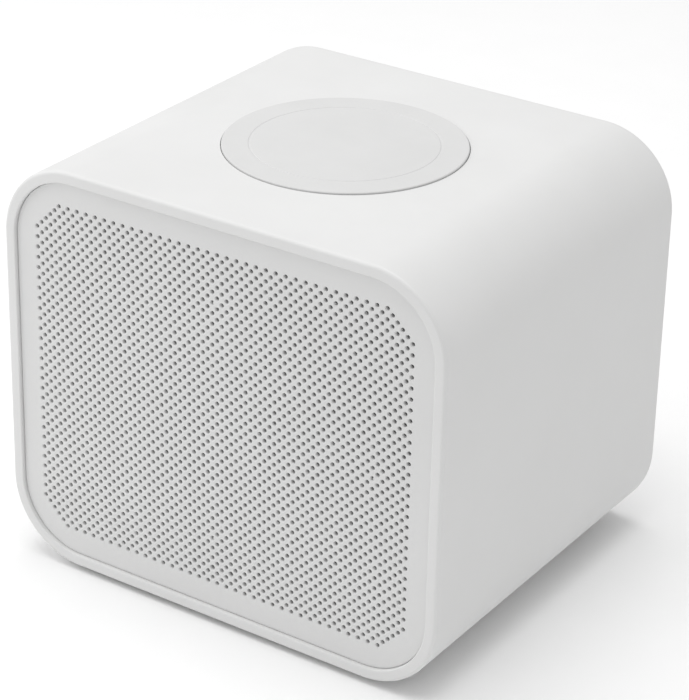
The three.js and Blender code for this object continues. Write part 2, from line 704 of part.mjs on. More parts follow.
// The charger's board, hung under the tray, with its chips on the underside.
function chargerBoard() {
  const half = TRAY_POST_X + SPACER_RADIUS + 1;
  const deep = CHARGER_BOARD_DEPTH / 2;
  const card = block([-half, -deep, CHARGER_BOTTOM], [half, deep, CHARGER_TOP]);
  const under = CHARGER_BOTTOM - 1.6;
  const chips = [
    block([-16, -6, under], [-8, 2, CHARGER_TOP]),
    block([-2, 3, under], [6, 9, CHARGER_TOP]),
    block([12, -9, under], [17, -4, CHARGER_TOP]),
  ];
  const holes = [-1, 1].map((side) =>
    post(SCREW_RADIUS + HOLE_GAP, CHARGER_BOTTOM - 1, CHARGER_TOP + 1, side * TRAY_POST_X, 0),
  );
  return carve(card, chips, holes);
}

// The main board on its posts, with chips, connectors and four screw holes.
function mainBoard() {
  const half = BOARD_WIDTH / 2;
  const card = block([-half, BOARD_FRONT, BOARD_BOTTOM], [half, BOARD_BACK, BOARD_TOP]);
  const low = BOARD_BOTTOM + 0.5;
  const chips = [
    block([-14, -8, low], [-5, 1, BOARD_TOP + 1.2]),
    block([2, -26, low], [9, -19, BOARD_TOP + 1]),
    block([-31, 2, low], [-24, 8, BOARD_TOP + 1.4]),
  ];
  const connectors = [driverLeadStart(), coilLeadEnd(), controlLeadEnd()];
  for (const [x, y] of connectors) {
    chips.push(block([x - 3, y - 2.5, low], [x + 3, y + 2.5, BOARD_TOP + 4]));
  }
  const holes = boardPosts().map(([x, y]) =>
    post(SCREW_RADIUS + HOLE_GAP, BOARD_BOTTOM - 1, BOARD_TOP + 1, x, y),
  );
  return carve(card, chips, holes);
}

// The radio module: a small card with a screening can.
function radioModule() {
  const card = block([0, 0, 0], [20, 14, 0.8]);
  const can = block([6, 1, 0], [19, 13, 2.4]);
  return carve(card, [can], []).translate(9 - BOARD_WIDTH / 2, -26, BOARD_SEAT);
}

// The amplifier's finned heat sink, a comb profile along Y.
function heatSink() {
  const fins = 6;
  const width = 24;
  const finWidth = 1.6;
  const pitch = (width - finWidth) / (fins - 1);
  const base = 2.4;
  const high = 11;
  const comb = new THREE.Shape();
  comb.moveTo(-width / 2, 0);
  comb.lineTo(width / 2, 0);
  for (let i = fins - 1; i >= 0; i -= 1) {
    const left = -width / 2 + i * pitch;
    comb.lineTo(left + finWidth, i === fins - 1 ? 0 : base);
    comb.lineTo(left + finWidth, high);
    comb.lineTo(left, high);
    if (i > 0) comb.lineTo(left, base);
  }
  return slab(comb, 2, 22, BOARD_SEAT, COARSE).translate(20, 0, 0);
}

// An electrolytic capacitor standing on the board, its sleeve drawn in below the top.
function capacitor() {
  const points = [
    [0, BOARD_SEAT],
    [5, BOARD_SEAT],
    [5, BOARD_SEAT + 2],
    [4.5, BOARD_SEAT + 2.8],
    [5, BOARD_SEAT + 3.6],
    [5, BOARD_SEAT + 16],
    [0, BOARD_SEAT + 16],
  ];
  return turned(points, MEDIUM, false).rotateX(Math.PI / 2).translate(-15, 16, 0);
}

// A shielded power inductor: square foot, round core.
function powerInductor() {
  const foot = block([-8, 18, BOARD_SEAT], [4, 30, BOARD_SEAT + 1.4]);
  return carve(foot, [post(5.6, BOARD_SEAT + 1, BOARD_SEAT + 6.5, -2, 24, MEDIUM)], []);
}

// The light pipe: a bar across the board's front edge with a prong to each lit hole of the front panel.
function lightPipe() {
  const places = lightPlaces();
  const margin = LIGHT_PIPE_RADIUS + 0.6;
  const row = places[0][1];
  const left = places[0][0] - margin;
  const right = places[2][0] + margin;
  const back = BOARD_FRONT - 0.5;
  const low = Math.min(row, BOARD_BOTTOM) - margin;
  const high = Math.max(row, BOARD_TOP) + margin;
  const stem = block([left, back - 3, low], [right, back, high]);
  const prongs = places.map(([x, z]) => bar(LIGHT_PIPE_RADIUS, CLOTH_BACK + SEAT_GAP, back - 1, x, z));
  return carve(stem, prongs, []);
}

// The middles of the four buttons in X, from power to volume up: left to right as seen from behind.
function buttonPlaces() {
  return [1.5, 0.5, -0.5, -1.5].map((share) => share * BUTTON_PITCH);
}

// The rear cover: a plate with a sunk control panel, button holes, socket openings, screw pockets
// and two stakes that hold the control board.
function rearCover() {
  const sheet = slab(insertOutline(EDGE_GAP), COVER_FRONT, COVER_BACK, CENTRE_Z, CORNER_STEPS);
  const stakes = [-1, 1].map((side) =>
    bar(STAKE_RADIUS, CONTROL_FRONT - 1.2, COVER_FRONT + 0.5, side * STAKE_X, PANEL_Z),
  );
  const past = 1;
  const panel = roundedOutline(PANEL_WIDTH, PANEL_HEIGHT, PANEL_RADIUS);
  const cuts = [slab(panel, PANEL_FLOOR, COVER_BACK + past, PANEL_Z, CORNER_STEPS)];
  for (const x of buttonPlaces()) {
    cuts.push(bar(BUTTON_RADIUS + RUNNING_GAP, COVER_FRONT - past, COVER_BACK + past, x, PANEL_Z, MEDIUM));
  }
  for (const [sx, sz] of QUARTERS) {
    const x = sx * COLUMN_X;
    const z = CENTRE_Z + sz * COLUMN_Z;
    cuts.push(bar(SCREW_RADIUS + HOLE_GAP, COVER_FRONT - past, COVER_BACK + past, x, z));
    cuts.push(bar(SCREW_HEAD_RADIUS + HOLE_GAP, coverPocket(), COVER_BACK + past, x, z));
  }
  const gap = HOLE_GAP;
  const slot = roundedOutline(INLET_WIDTH + 2 * gap, INLET_HEIGHT + 2 * gap, INLET_HEIGHT / 2 + gap);
  const inlet = slab(slot, COVER_FRONT - past, COVER_BACK + past, inletHeight(), CORNER_STEPS);
  cuts.push(inlet.translate(-SOCKET_SPACING / 2, 0, 0));
  cuts.push(
    bar(AUDIO_RADIUS + gap, COVER_FRONT - past, COVER_BACK + past, SOCKET_SPACING / 2, audioHeight(), MEDIUM),
  );
  return carve(sheet, stakes, cuts);
}

// The floor of the pockets that sink the cover's screw heads.
function coverPocket() {
  return COVER_BACK - SCREW_HEAD_HEIGHT - RUNNING_GAP;
}

function inletHeight() {
  return BOARD_SEAT + INLET_HEIGHT / 2;
}

function audioHeight() {
  return BOARD_SEAT + AUDIO_RADIUS;
}

// The foam ring between ledge and rear cover, with a hole for each screw.
function rearGasket() {
  const outline = insertOutline(2 * EDGE_GAP);
  const width = LEDGE_WIDTH - 3 * EDGE_GAP;
  outline.holes.push(insertOutline(2 * EDGE_GAP + width));
  const foam = slab(outline, GASKET_FRONT, GASKET_BACK, CENTRE_Z, CORNER_STEPS);
  const cuts = [];
  for (const [sx, sz] of QUARTERS) {
    const x = sx * COLUMN_X;
    const z = CENTRE_Z + sz * COLUMN_Z;
    cuts.push(bar(SCREW_RADIUS + HOLE_GAP, GASKET_FRONT - 1, GASKET_BACK + 1, x, z));
  }
  return carve(foam, [], cuts);
}

// The control board behind the buttons, with a switch for each and a connector below.
function controlBoard() {
  const half = PANEL_WIDTH / 2;
  const high = PANEL_HEIGHT / 2;
  const card = block([-half, CONTROL_FRONT, PANEL_Z - high], [half, CONTROL_BACK, PANEL_Z + high]);
  const side = SWITCH_SIDE / 2;
  const added = buttonPlaces().map((x) =>
    block([x - side, CONTROL_FRONT + 0.5, PANEL_Z - side], [x + side, SWITCH_BACK, PANEL_Z + side]),
  );
  const [plugX, , plugZ] = controlLeadStart();
  added.push(block([plugX - 3, CONTROL_FRONT - 4, plugZ - 2], [plugX + 3, CONTROL_BACK - 0.5, plugZ + 2]));
  const cuts = [-1, 1].map((place) =>
    bar(STAKE_RADIUS + RUNNING_GAP, CONTROL_FRONT - 1, CONTROL_BACK + 1, place * STAKE_X, PANEL_Z),
  );
  return carve(card, added, cuts);
}

// One push button: cap, flange behind the cover, and the stem that reaches the switch.
function button(x) {
  const cap = BUTTON_RADIUS;
  const edge = 0.3;
  const points = [
    [0, STEM_FRONT],
    [STEM_RADIUS, STEM_FRONT],
    [STEM_RADIUS, FLANGE_BACK - BUTTON_FLANGE],
    [cap + 1, FLANGE_BACK - BUTTON_FLANGE],
    [cap + 1, FLANGE_BACK],
    [cap, FLANGE_BACK],
    [cap, BUTTON_BACK - edge],
    [cap - edge, BUTTON_BACK],
    [0, BUTTON_BACK],
  ];
  return turned(points, MEDIUM, false).translate(x, 0, PANEL_Z);
}

// The power inlet: a pressed shell with a tongue, on the board's rear edge, its mouth flush with the cover.
function powerInlet() {
  const sheet = 0.35;
  const back = COVER_BACK - 0.5;
  const outer = roundedOutline(INLET_WIDTH, INLET_HEIGHT, INLET_HEIGHT / 2);
  const inner = roundedOutline(INLET_WIDTH - 2 * sheet, INLET_HEIGHT - 2 * sheet, INLET_HEIGHT / 2 - sheet);
  const can = slab(outer, back - INLET_LENGTH, back, inletHeight(), CORNER_STEPS);
  const bore = slab(inner, back - INLET_LENGTH + 1.5, back + 1, inletHeight(), CORNER_STEPS);
  const middle = inletHeight();
  const tongue = block([-3.3, back - INLET_LENGTH + 1, middle - 0.35], [3.3, back - 1, middle + 0.35]);
  return carve(carve(can, [], [bore]), [tongue], []).translate(-SOCKET_SPACING / 2, 0, 0);
}

// The audio socket: a block on the board with a round nose through the cover and a blind bore.
function audioSocket() {
  const back = COVER_BACK - 0.5;
  const front = back - AUDIO_LENGTH;
  const middle = audioHeight();
  const radius = AUDIO_RADIUS;
  const body = block([-radius, front, middle - radius], [radius, COVER_FRONT - 0.5, middle + radius]);
  const nose = bar(radius, COVER_FRONT - 2, back, 0, middle, MEDIUM);
  const bore = bar(AUDIO_BORE, front + 1.2, back + 1, 0, middle, MEDIUM);
  return carve(body, [nose], [bore]).translate(SOCKET_SPACING / 2, 0, 0);
}

// A lead: a round tube along a smooth curve through its points.
function lead(points) {
  const path = new THREE.CatmullRomCurve3(points.map((point) => new THREE.Vector3(...point)));
  const section = new THREE.Shape();
  section.absarc(0, 0, LEAD_RADIUS, 0, 2 * Math.PI);
  const steps = 4 * (points.length - 1);
  return new THREE.ExtrudeGeometry(section, { steps, extrudePath: path, curveSegments: 4 });
}

// The leads leave the board's connectors upwards and meet each far end with a small gap.
const LEAD_START = BOARD_TOP + 4 + HOLE_GAP;

function driverLeadStart() {
  return [BOARD_WIDTH / 2 - 5, -8, LEAD_START];
}

function coilLeadEnd() {
  return [6 - BOARD_WIDTH / 2, 18, LEAD_START];
}

function controlLeadEnd() {
  return [controlPlugX(), BOARD_BACK - 8, LEAD_START];
}

function controlLeadStart() {
  return [controlPlugX(), CONTROL_FRONT, PANEL_Z - PANEL_HEIGHT / 2 + 2];
}

// The control lead hangs straight down between its two plugs.
function controlPlugX() {
  return BOARD_WIDTH / 2 - 20;
}

function driverLead() {
  const lugHeight = CENTRE_Z + SPIDER_RADIUS + 3.2;
  const y = BAFFLE_BACK + SPIDER_DEPTH + BASKET_SHEET + 2.5;
  return lead([
    driverLeadStart(),
    [BOARD_WIDTH / 2 - 5, -10, CENTRE_Z - 18],
    [34, y + 6, CENTRE_Z + 8],
    [20, y + 2, lugHeight + 2],
    [11, y, lugHeight],
    [4.5 + HOLE_GAP, y, lugHeight],
  ]);
}

function coilLead() {
  const edge = CHARGER_BOARD_DEPTH / 2 + HOLE_GAP;
  const level = CHARGER_BOTTOM + BOARD_THICKNESS / 2;
  return lead([
    [-20, edge, level],
    [-20, edge + 4, level],
    [-26, edge + 10, CENTRE_Z + 30],
    [-35, edge + 12, CENTRE_Z],
    [6 - BOARD_WIDTH / 2, 20, LEAD_START + 10],
    coilLeadEnd(),
  ]);
}

function controlLead() {
  const [x, y, z] = controlLeadStart();
  return lead([
    [x, y - 4 - HOLE_GAP, z],
    [x, y - 8, z],
    [x, y - 10, z - 5],
    [x, y - 8, CENTRE_Z - 14],
    controlLeadEnd(),
  ]);
}

function addBody() {
  addPiece(object, "main_shell", "whitePlastic", mainShell());
  addPiece(object, "front_grille", "whitePlastic", frontGrille());
  addPiece(object, "grille_cloth", "cloth", grilleCloth());
  addPiece(object, "front_baffle", "blackPlastic", frontBaffle());
  addPiece(object, "rear_cover", "whitePlastic", rearCover());
  addPiece(object, "rear_gasket", "foam", rearGasket());
  footPlaces().forEach(([x, y], index) => {
    const foot = post(FOOT_RADIUS, 0, FOOT_PROUD + FOOT_POCKET - SEAT_GAP, x, y, MEDIUM);
    addPiece(object, `foot_${index + 1}`, "rubber", foot);
  });
}

function addDriver() {
  const driver = new THREE.Group();
  driver.position.set(0, BAFFLE_BACK, CENTRE_Z);
  object.add(driver);
  addPiece(driver, "driver_gasket", "foam", driverGasket());
  addPiece(driver, "driver_basket", "steel", driverBasket());
  addPiece(driver, "driver_surround", "rubber", driverSurround());
  addPiece(driver, "driver_cone", "paper", driverCone());
  addPiece(driver, "driver_dust_cap", "paper", driverDustCap());
  addPiece(driver, "driver_spider", "spiderCloth", driverSpider());
  addPiece(driver, "driver_voice_coil", "copper", driverVoiceCoil());
  addPiece(driver, "driver_front_plate", "zinc", driverFrontPlate());
  addPiece(driver, "driver_magnet", "ferrite", driverMagnet());
  addPiece(driver, "driver_yoke", "zinc", driverYoke());
  addPiece(driver, "driver_terminals", "greyPlastic", driverTerminals());
  driverScrewPlaces().forEach(([x, z], index) => {
    const head = FLANGE_END + SEAT_GAP + SCREW_HEAD_HEIGHT;
    const fastener = screw(DRIVER_SCREW).rotateX(Math.PI).translate(x, head, z);
    addPiece(driver, `driver_screw_${index + 1}`, "zinc", fastener);
  });
}

function addCharger() {
  addPiece(object, "charging_pad", "silicone", chargingPad());
  addPiece(object, "charging_coil", "copper", chargingCoil());
  addPiece(object, "ferrite_sheet", "ferrite", ferriteSheet());
  addPiece(object, "coil_tray", "blackPlastic", coilTray());
  addPiece(object, "charger_board", "board", chargerBoard());
  [-1, 1].forEach((side, index) => {
    const head = CHARGER_BOTTOM - SEAT_GAP - SCREW_HEAD_HEIGHT;
    const reach = CEILING + WALL / 4 - SEAT_GAP - head;
    const fastener = screw(reach).rotateX(Math.PI / 2).translate(side * TRAY_POST_X, 0, head);
    addPiece(object, `coil_screw_${index + 1}`, "zinc", fastener);
  });
}

function addElectronics() {
  addPiece(object, "main_board", "board", mainBoard());
  addPiece(object, "radio_module", "zinc", radioModule());
  addPiece(object, "heat_sink", "aluminium", heatSink());
  addPiece(object, "capacitor", "sleeve", capacitor());
  addPiece(object, "power_inductor", "ferrite", powerInductor());
  addPiece(object, "light_pipe", "clearPlastic", lightPipe());
  boardPosts().forEach(([x, y], index) => {
    const head = BOARD_TOP + SEAT_GAP + SCREW_HEAD_HEIGHT;
    const fastener = screw(BOARD_SCREW).rotateX(-Math.PI / 2).translate(x, y, head);
    addPiece(object, `board_screw_${index + 1}`, "zinc", fastener);
  });
  addPiece(object, "driver_lead", "rubber", driverLead());
  addPiece(object, "coil_lead", "rubber", coilLead());
  addPiece(object, "control_lead", "rubber", controlLead());
}

function addControls() {
  addPiece(object, "control_board", "board", controlBoard());
  const names = ["power_button", "volume_down_button", "play_button", "volume_up_button"];
  buttonPlaces().forEach((x, index) => addPiece(object, names[index], "greyPlastic", button(x)));
  addPiece(object, "power_inlet", "steel", powerInlet());
  addPiece(object, "audio_socket", "blackPlastic", audioSocket());
}

function addScrews() {
  QUARTERS.forEach(([sx, sz], index) => {
    const x = sx * COLUMN_X;
    const z = CENTRE_Z + sz * COLUMN_Z;
    const frontHead = bafflePocket() - SEAT_GAP - SCREW_HEAD_HEIGHT;
    const rearHead = coverPocket() + SEAT_GAP + SCREW_HEAD_HEIGHT;
    addPiece(object, `baffle_screw_${index + 1}`, "zinc", screw(LONG_SCREW).translate(x, frontHead, z));
    const rear = screw(LONG_SCREW).rotateX(Math.PI).translate(x, rearHead, z);
    addPiece(object, `cover_screw_${index + 1}`, "zinc", rear);
  });
}

addBody();
addDriver();
addCharger();
addElectronics();
addControls();
addScrews();

export default object;
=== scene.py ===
import math

import bpy
import numpy as np
from mathutils.geometry import delaunay_2d_cdt
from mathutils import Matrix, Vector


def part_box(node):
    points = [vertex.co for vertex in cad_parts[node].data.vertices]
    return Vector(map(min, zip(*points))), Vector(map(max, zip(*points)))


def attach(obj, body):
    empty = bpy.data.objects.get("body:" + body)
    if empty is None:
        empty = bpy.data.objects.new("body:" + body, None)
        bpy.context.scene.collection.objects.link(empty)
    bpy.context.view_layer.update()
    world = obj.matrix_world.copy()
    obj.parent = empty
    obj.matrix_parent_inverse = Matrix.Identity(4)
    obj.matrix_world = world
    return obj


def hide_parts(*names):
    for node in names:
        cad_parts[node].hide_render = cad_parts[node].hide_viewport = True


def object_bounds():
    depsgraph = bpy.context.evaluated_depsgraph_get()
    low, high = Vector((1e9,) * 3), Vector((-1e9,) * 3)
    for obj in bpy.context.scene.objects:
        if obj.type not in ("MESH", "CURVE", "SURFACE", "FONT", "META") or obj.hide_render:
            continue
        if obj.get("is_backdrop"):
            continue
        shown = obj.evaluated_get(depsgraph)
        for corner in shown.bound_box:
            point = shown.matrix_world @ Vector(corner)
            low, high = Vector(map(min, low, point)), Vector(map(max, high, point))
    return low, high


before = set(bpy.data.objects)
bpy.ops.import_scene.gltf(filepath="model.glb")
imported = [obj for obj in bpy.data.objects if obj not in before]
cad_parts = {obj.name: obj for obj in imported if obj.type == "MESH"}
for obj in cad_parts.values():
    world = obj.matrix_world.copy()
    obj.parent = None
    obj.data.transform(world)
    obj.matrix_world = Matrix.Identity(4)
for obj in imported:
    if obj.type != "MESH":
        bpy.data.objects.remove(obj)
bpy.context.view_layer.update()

# Studio
# A long lens looks down on the right front corner from 0.7 m. The floor is plain and white, and the
# light is a pale surround, one large softbox overhead and a small one low on the left.
camera_data = bpy.data.cameras.new("studio_camera")
camera_data.sensor_width = 36
camera_data.lens = 139.29
camera_data.shift_x = 0.05
camera_data.shift_y = -0.05
camera = bpy.data.objects.new("studio_camera", camera_data)
camera.location = (0.34434, -0.52078, 0.37097)
camera.rotation_euler = [math.radians(angle) for angle in (63.902, -0.827, 34.635)]
bpy.context.scene.collection.objects.link(camera)
bpy.context.scene.camera = camera
bpy.context.scene.view_settings.view_transform = "Standard"

surround = bpy.data.worlds.new("studio_surround")
surround.use_nodes = True
surround.node_tree.nodes["Background"].inputs["Color"].default_value = (1, 1, 1, 1)
surround.node_tree.nodes["Background"].inputs["Strength"].default_value = 0.55
bpy.context.scene.world = surround


def softbox(name, place, aim, side, power):
    """A square soft light at a place, turned towards a point, with its side in metres."""
    light = bpy.data.lights.new(name, "AREA")
    light.size = side
    light.energy = power
    lamp = bpy.data.objects.new(name, light)
    lamp.location = place
    away = np.array(place, float) - np.array(aim, float)
    across = math.hypot(away[0], away[1])
    lamp.rotation_euler = (math.atan2(across, away[2]), 0, math.atan2(away[0], -away[1]))
    bpy.context.scene.collection.objects.link(lamp)


softbox("softbox_overhead", (-0.02, -0.05, 1.6), (0, 0, 0.05), 1.2, 13.8)
softbox("softbox_left", (-0.46, -0.27, 0.36), (0, 0, 0.06), 0.35, 0.9)


def new_finish(name, metallic=0.0, coat=0.0):
    """A material whose shader is ready to take its textures."""
    material = bpy.data.materials.new(name)
    material.use_nodes = True
    shader = material.node_tree.nodes["Principled BSDF"]
    shader.inputs["Metallic"].default_value = metallic
    shader.inputs["Coat Weight"].default_value = coat
    return material


def texture(material, kind, size, stretch=(1, 1, 1), centre=(0, 0, 0), **settings):
    """A texture on the object's own coordinates, with features about size millimetres across.
    Stretch makes them finer along an axis, and centre is where its origin lies, in millimetres."""
    nodes, links = material.node_tree.nodes, material.node_tree.links
    coordinates = nodes.new("ShaderNodeTexCoord")
    mapping = nodes.new("ShaderNodeMapping")
    mapping.inputs["Scale"].default_value = stretch
    mapping.inputs["Location"].default_value = [-c * s / 1000 for c, s in zip(centre, stretch)]
    pattern = nodes.new(f"ShaderNodeTex{kind}")
    for key, value in settings.items():
        if key in pattern.inputs:
            pattern.inputs[key].default_value = value
        else:
            setattr(pattern, key, value)
    pattern.inputs["Scale"].default_value = 1000 / size * (math.pi / 10 if kind == "Wave" else 1)
    links.new(coordinates.outputs["Object"], mapping.inputs["Vector"])
    links.new(mapping.outputs["Vector"], pattern.inputs["Vector"])
    return pattern.outputs["Distance" if kind == "Voronoi" else "Fac"]


def tint(material, factor, tones, low=0.3, high=0.7):
    """Colours the surface between tones as the factor goes from low to high."""
    nodes, links = material.node_tree.nodes, material.node_tree.links
    ramp = nodes.new("ShaderNodeValToRGB")
    ramp.color_ramp.elements[0].position = low
    ramp.color_ramp.elements[1].position = high
    for element, tone in zip(ramp.color_ramp.elements, tones):
        element.color = (*tone, 1)
    links.new(factor, ramp.inputs["Fac"])
    links.new(ramp.outputs["Color"], nodes["Principled BSDF"].inputs["Base Color"])
    return ramp


def polish(material, factor, low, high):
    """Varies roughness from low to high with the factor."""
    nodes, links = material.node_tree.nodes, material.node_tree.links
    spread = nodes.new("ShaderNodeMapRange")
    for name, value in zip(("From Min", "From Max", "To Min", "To Max"), (0.3, 0.7, low, high)):
        spread.inputs[name].default_value = value
    links.new(factor, spread.inputs["Value"])
    links.new(spread.outputs["Result"], nodes["Principled BSDF"].inputs["Roughness"])


def emboss(material, factor, relief):
    """Raises the surface with the factor, relief in millimetres, over what was raised before."""
    nodes, links = material.node_tree.nodes, material.node_tree.links
    normal = nodes["Principled BSDF"].inputs["Normal"]
    bump = nodes.new("ShaderNodeBump")
    bump.inputs["Distance"].default_value = relief / 1000
    if normal.is_linked:
        links.new(normal.links[0].from_socket, bump.inputs["Normal"])
    links.new(factor, bump.inputs["Height"])
    links.new(bump.outputs["Normal"], normal)


def moulded(name, tones, roughness, grain, relief, patch=20, metallic=0.0, coat=0.0, stretch=(1, 1, 1)):
    """A moulded, cast or pressed surface. Its two close tones drift over patches, its fine grain is
    raised by relief, and its roughness follows the patches. Sizes are in millimetres."""
    material = new_finish(name, metallic, coat)
    drift = texture(material, "Noise", patch, Detail=5.0, Roughness=0.6)
    fine = texture(material, "Noise", grain, stretch, Detail=2.0)
    tint(material, drift, tones)
    polish(material, drift, *roughness)
    emboss(material, fine, relief)
    return material


FLOOR_REACH = 4
floor_mesh = bpy.data.meshes.new("studio_floor")
floor_corners = [(x * FLOOR_REACH, y * FLOOR_REACH, 0) for x, y in ((-1, -1), (1, -1), (1, 1), (-1, 1))]
floor_mesh.from_pydata(floor_corners, [], [(0, 1, 2, 3)])
floor = bpy.data.objects.new("studio_floor", floor_mesh)
floor_paper = moulded("floor_paper", ((0.965, 0.965, 0.965), (0.975, 0.975, 0.975)), (0.85, 0.9), 2, 0.002)
floor.data.materials.append(floor_paper)
bpy.context.scene.collection.objects.link(floor)
floor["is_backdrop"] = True

# Main shell
# A one-piece sleeve of matte white ABS, injection moulded with a fine spark-eroded grain. Ledges inside
# each end, four screw columns and the posts of the boards are moulded with it.
SHELL_WIDTH, SHELL_HEIGHT = 130, 111
SHELL_FRONT, SHELL_BACK = -55, 55
MIDDLE = 57
CORNER = 21
WALL = 3.2
LEDGE, LEDGE_THICKNESS = 4, 3
FRONT_LEDGE, REAR_LEDGE = -47.9, 49.9
COLUMN_RADIUS, POST_RADIUS = 4, 3
PILOT_RADIUS, PILOT_DEPTH = 1.25, 11
COLUMN_PLACES = [(x, MIDDLE + z) for x in (-54.32, 54.32) for z in (-44.82, 44.82)]
BOARD_POSTS = [(-37, -35), (37, -35), (37, 40.5), (-37, 40.5)]
TRAY_POSTS = (-29.4, 29.4)
FOOT_PLACES = [(x, y) for x in (-37, 37) for y in (-38, 38)]


def rounded_rectangle(width, height, radius, steps, middle=(0, MIDDLE)):
    """Places round a rectangle with rounded corners, and the outward direction at each: every quarter
    turns about its own corner centre, and the straight sides join the quarters."""
    quarter = np.repeat(np.arange(4), steps + 1)
    angle = (quarter + np.tile(np.linspace(0, 1, steps + 1), 4)) * math.pi / 2
    outwards = np.stack([np.cos(angle), np.sin(angle)], axis=1)
    signs = np.array([(1, 1), (-1, 1), (-1, -1), (1, -1)])[quarter]
    centres = signs * (width / 2 - radius, height / 2 - radius) + np.array(middle)
    return centres + radius * outwards, outwards


def eased(points, lengths, steps=4):
    """Rounds the corners of a closed line: each becomes the circular arc that starts and ends its
    length away from the corner. A corner with no length stays sharp."""
    points = np.asarray(points, float)
    lengths = np.broadcast_to(np.asarray(lengths, float), len(points))[:, None]
    back = np.roll(points, 1, axis=0) - points
    ahead = np.roll(points, -1, axis=0) - points
    back /= np.linalg.norm(back, axis=1, keepdims=True)
    ahead /= np.linalg.norm(ahead, axis=1, keepdims=True)
    half = np.arccos(np.clip((back * ahead).sum(axis=1, keepdims=True), -1, 1)) / 2
    inward = (back + ahead) / np.maximum(np.linalg.norm(back + ahead, axis=1, keepdims=True), 1e-9)
    centre = (points + inward * lengths / np.cos(half))[:, None]
    turn = np.maximum(math.pi - 2 * half, 1e-6)
    share = np.linspace(0, 1, steps + 1)
    from_start = (np.sin((1 - share) * turn) / np.sin(turn))[..., None]
    from_end = (np.sin(share * turn) / np.sin(turn))[..., None]
    start = (points + back * lengths)[:, None] - centre
    end = (points + ahead * lengths)[:, None] - centre
    arcs = (centre + from_start * start + from_end * end).reshape(-1, points.shape[1])
    apart = np.linalg.norm(arcs - np.roll(arcs, 1, axis=0), axis=1) > 1e-6
    return arcs[apart]


def grid_faces(rows, columns, wrapped):
    """Quads between neighbouring places of a grid that closes along each row, and from the last row
    to the first where it is wrapped."""
    row, column = np.meshgrid(np.arange(rows if wrapped else rows - 1), np.arange(columns), indexing="ij")
    above, beside = (row + 1) % rows, (column + 1) % columns
    row, above = row * columns, above * columns
    return np.stack([row + column, row + beside, above + beside, above + column], axis=-1).reshape(-1, 4)


def swept(outline, profile, closed=False):
    """Carries a profile of [inset, y] round an outline: each point is the outline's place, moved
    inwards by the inset, at depth y. An open profile is closed by a flat cap at each end."""
    places, outwards = outline
    profile = np.asarray(profile, float)
    across = places[None] - profile[:, :1, None] * outwards[None]
    depth = np.broadcast_to(profile[:, 1:], across.shape[:2])
    points = np.stack([across[..., 0], depth, across[..., 1]], axis=-1).reshape(-1, 3)
    rows, columns = across.shape[:2]
    faces = [grid_faces(rows, columns, closed)]
    if not closed:
        cap = np.arange(columns)[None]
        faces += [cap[:, ::-1], cap + (rows - 1) * columns]
    return points, faces


def turned(profile, steps, centre=(0, 0, 0), axis="y"):
    """Turns a profile of [radius, height] about an axis through centre. A profile that starts and ends
    on the axis is closed by poles there, and any other is a closed loop."""
    profile = np.asarray(profile, float)
    poles = profile[0, 0] == 0
    heights = profile[[0, -1], 1]
    if poles:
        profile = profile[1:-1]
    angle = np.arange(steps) * 2 * math.pi / steps
    x, z = profile[:, :1] * np.cos(angle), profile[:, :1] * np.sin(angle)
    h = np.broadcast_to(profile[:, 1:], x.shape)
    rows = len(profile)
    points = np.stack([x, h, z] if axis == "y" else [x, z, h], axis=-1).reshape(-1, 3)
    faces = [grid_faces(rows, steps, not poles)]
    if poles:
        ends = np.array([[0, h, 0] if axis == "y" else [0, 0, h] for h in heights])
        points = np.concatenate([points, ends])
        here, beside = np.arange(steps), (np.arange(steps) + 1) % steps
        first, last = rows * steps, (rows - 1) * steps
        faces.append(np.stack([np.full(steps, first), beside, here], axis=-1))
        faces.append(np.stack([np.full(steps, first + 1), here + last, beside + last], axis=-1))
    return points + np.array(centre, float), faces


def make_piece(name, *islands, paints=None):
    """One mesh object from islands of points in millimetres and faces. An island whose signed volume
    is negative is turned right side out. Paints are the islands' material numbers."""
    points, corners, counts, numbers, offset = [], [], [], [], 0
    for place, (spots, groups) in enumerate(islands):
        volume = 0.0
        for group in groups:
            for j in range(1, group.shape[1] - 1):
                a, b, c = spots[group[:, 0]], spots[group[:, j]], spots[group[:, j + 1]]
                volume += (a * np.cross(b, c)).sum()
        for group in groups:
            ordered = group[:, ::-1] if volume < 0 else group
            corners.append((ordered + offset).ravel())
            counts.append(np.full(len(group), group.shape[1]))
            numbers.append(np.full(len(group), paints[place] if paints else 0))
        points.append(spots)
        offset += len(spots)
    corners, counts = np.concatenate(corners), np.concatenate(counts)
    mesh = bpy.data.meshes.new(name)
    mesh.vertices.add(offset)
    mesh.loops.add(len(corners))
    mesh.polygons.add(len(counts))
    mesh.vertices.foreach_set("co", (np.concatenate(points) / 1000).ravel())
    mesh.loops.foreach_set("vertex_index", corners)
    mesh.polygons.foreach_set("loop_start", np.concatenate([[0], np.cumsum(counts)[:-1]]))
    mesh.polygons.foreach_set("material_index", np.concatenate(numbers))
    mesh.update(calc_edges=True)
    piece = bpy.data.objects.new(name, mesh)
    bpy.context.scene.collection.objects.link(piece)
    return piece


def settle(piece):
    """Works a piece's modifiers into its mesh."""
    graph = bpy.context.evaluated_depsgraph_get()
    mesh = bpy.data.meshes.new_from_object(piece.evaluated_get(graph), depsgraph=graph)
    mesh.name = piece.name
    piece.modifiers.clear()
    piece.data = mesh


def carve(piece, *cutters):
    """Takes islands away from a piece, one after another."""
    tools = [make_piece(f"cutter_{number}", cutter) for number, cutter in enumerate(cutters)]
    for tool in tools:
        cut = piece.modifiers.new("cut", "BOOLEAN")
        cut.operation = "DIFFERENCE"
        cut.solver = "EXACT"
        cut.object = tool
    settle(piece)
    for tool in tools:
        bpy.data.objects.remove(tool)


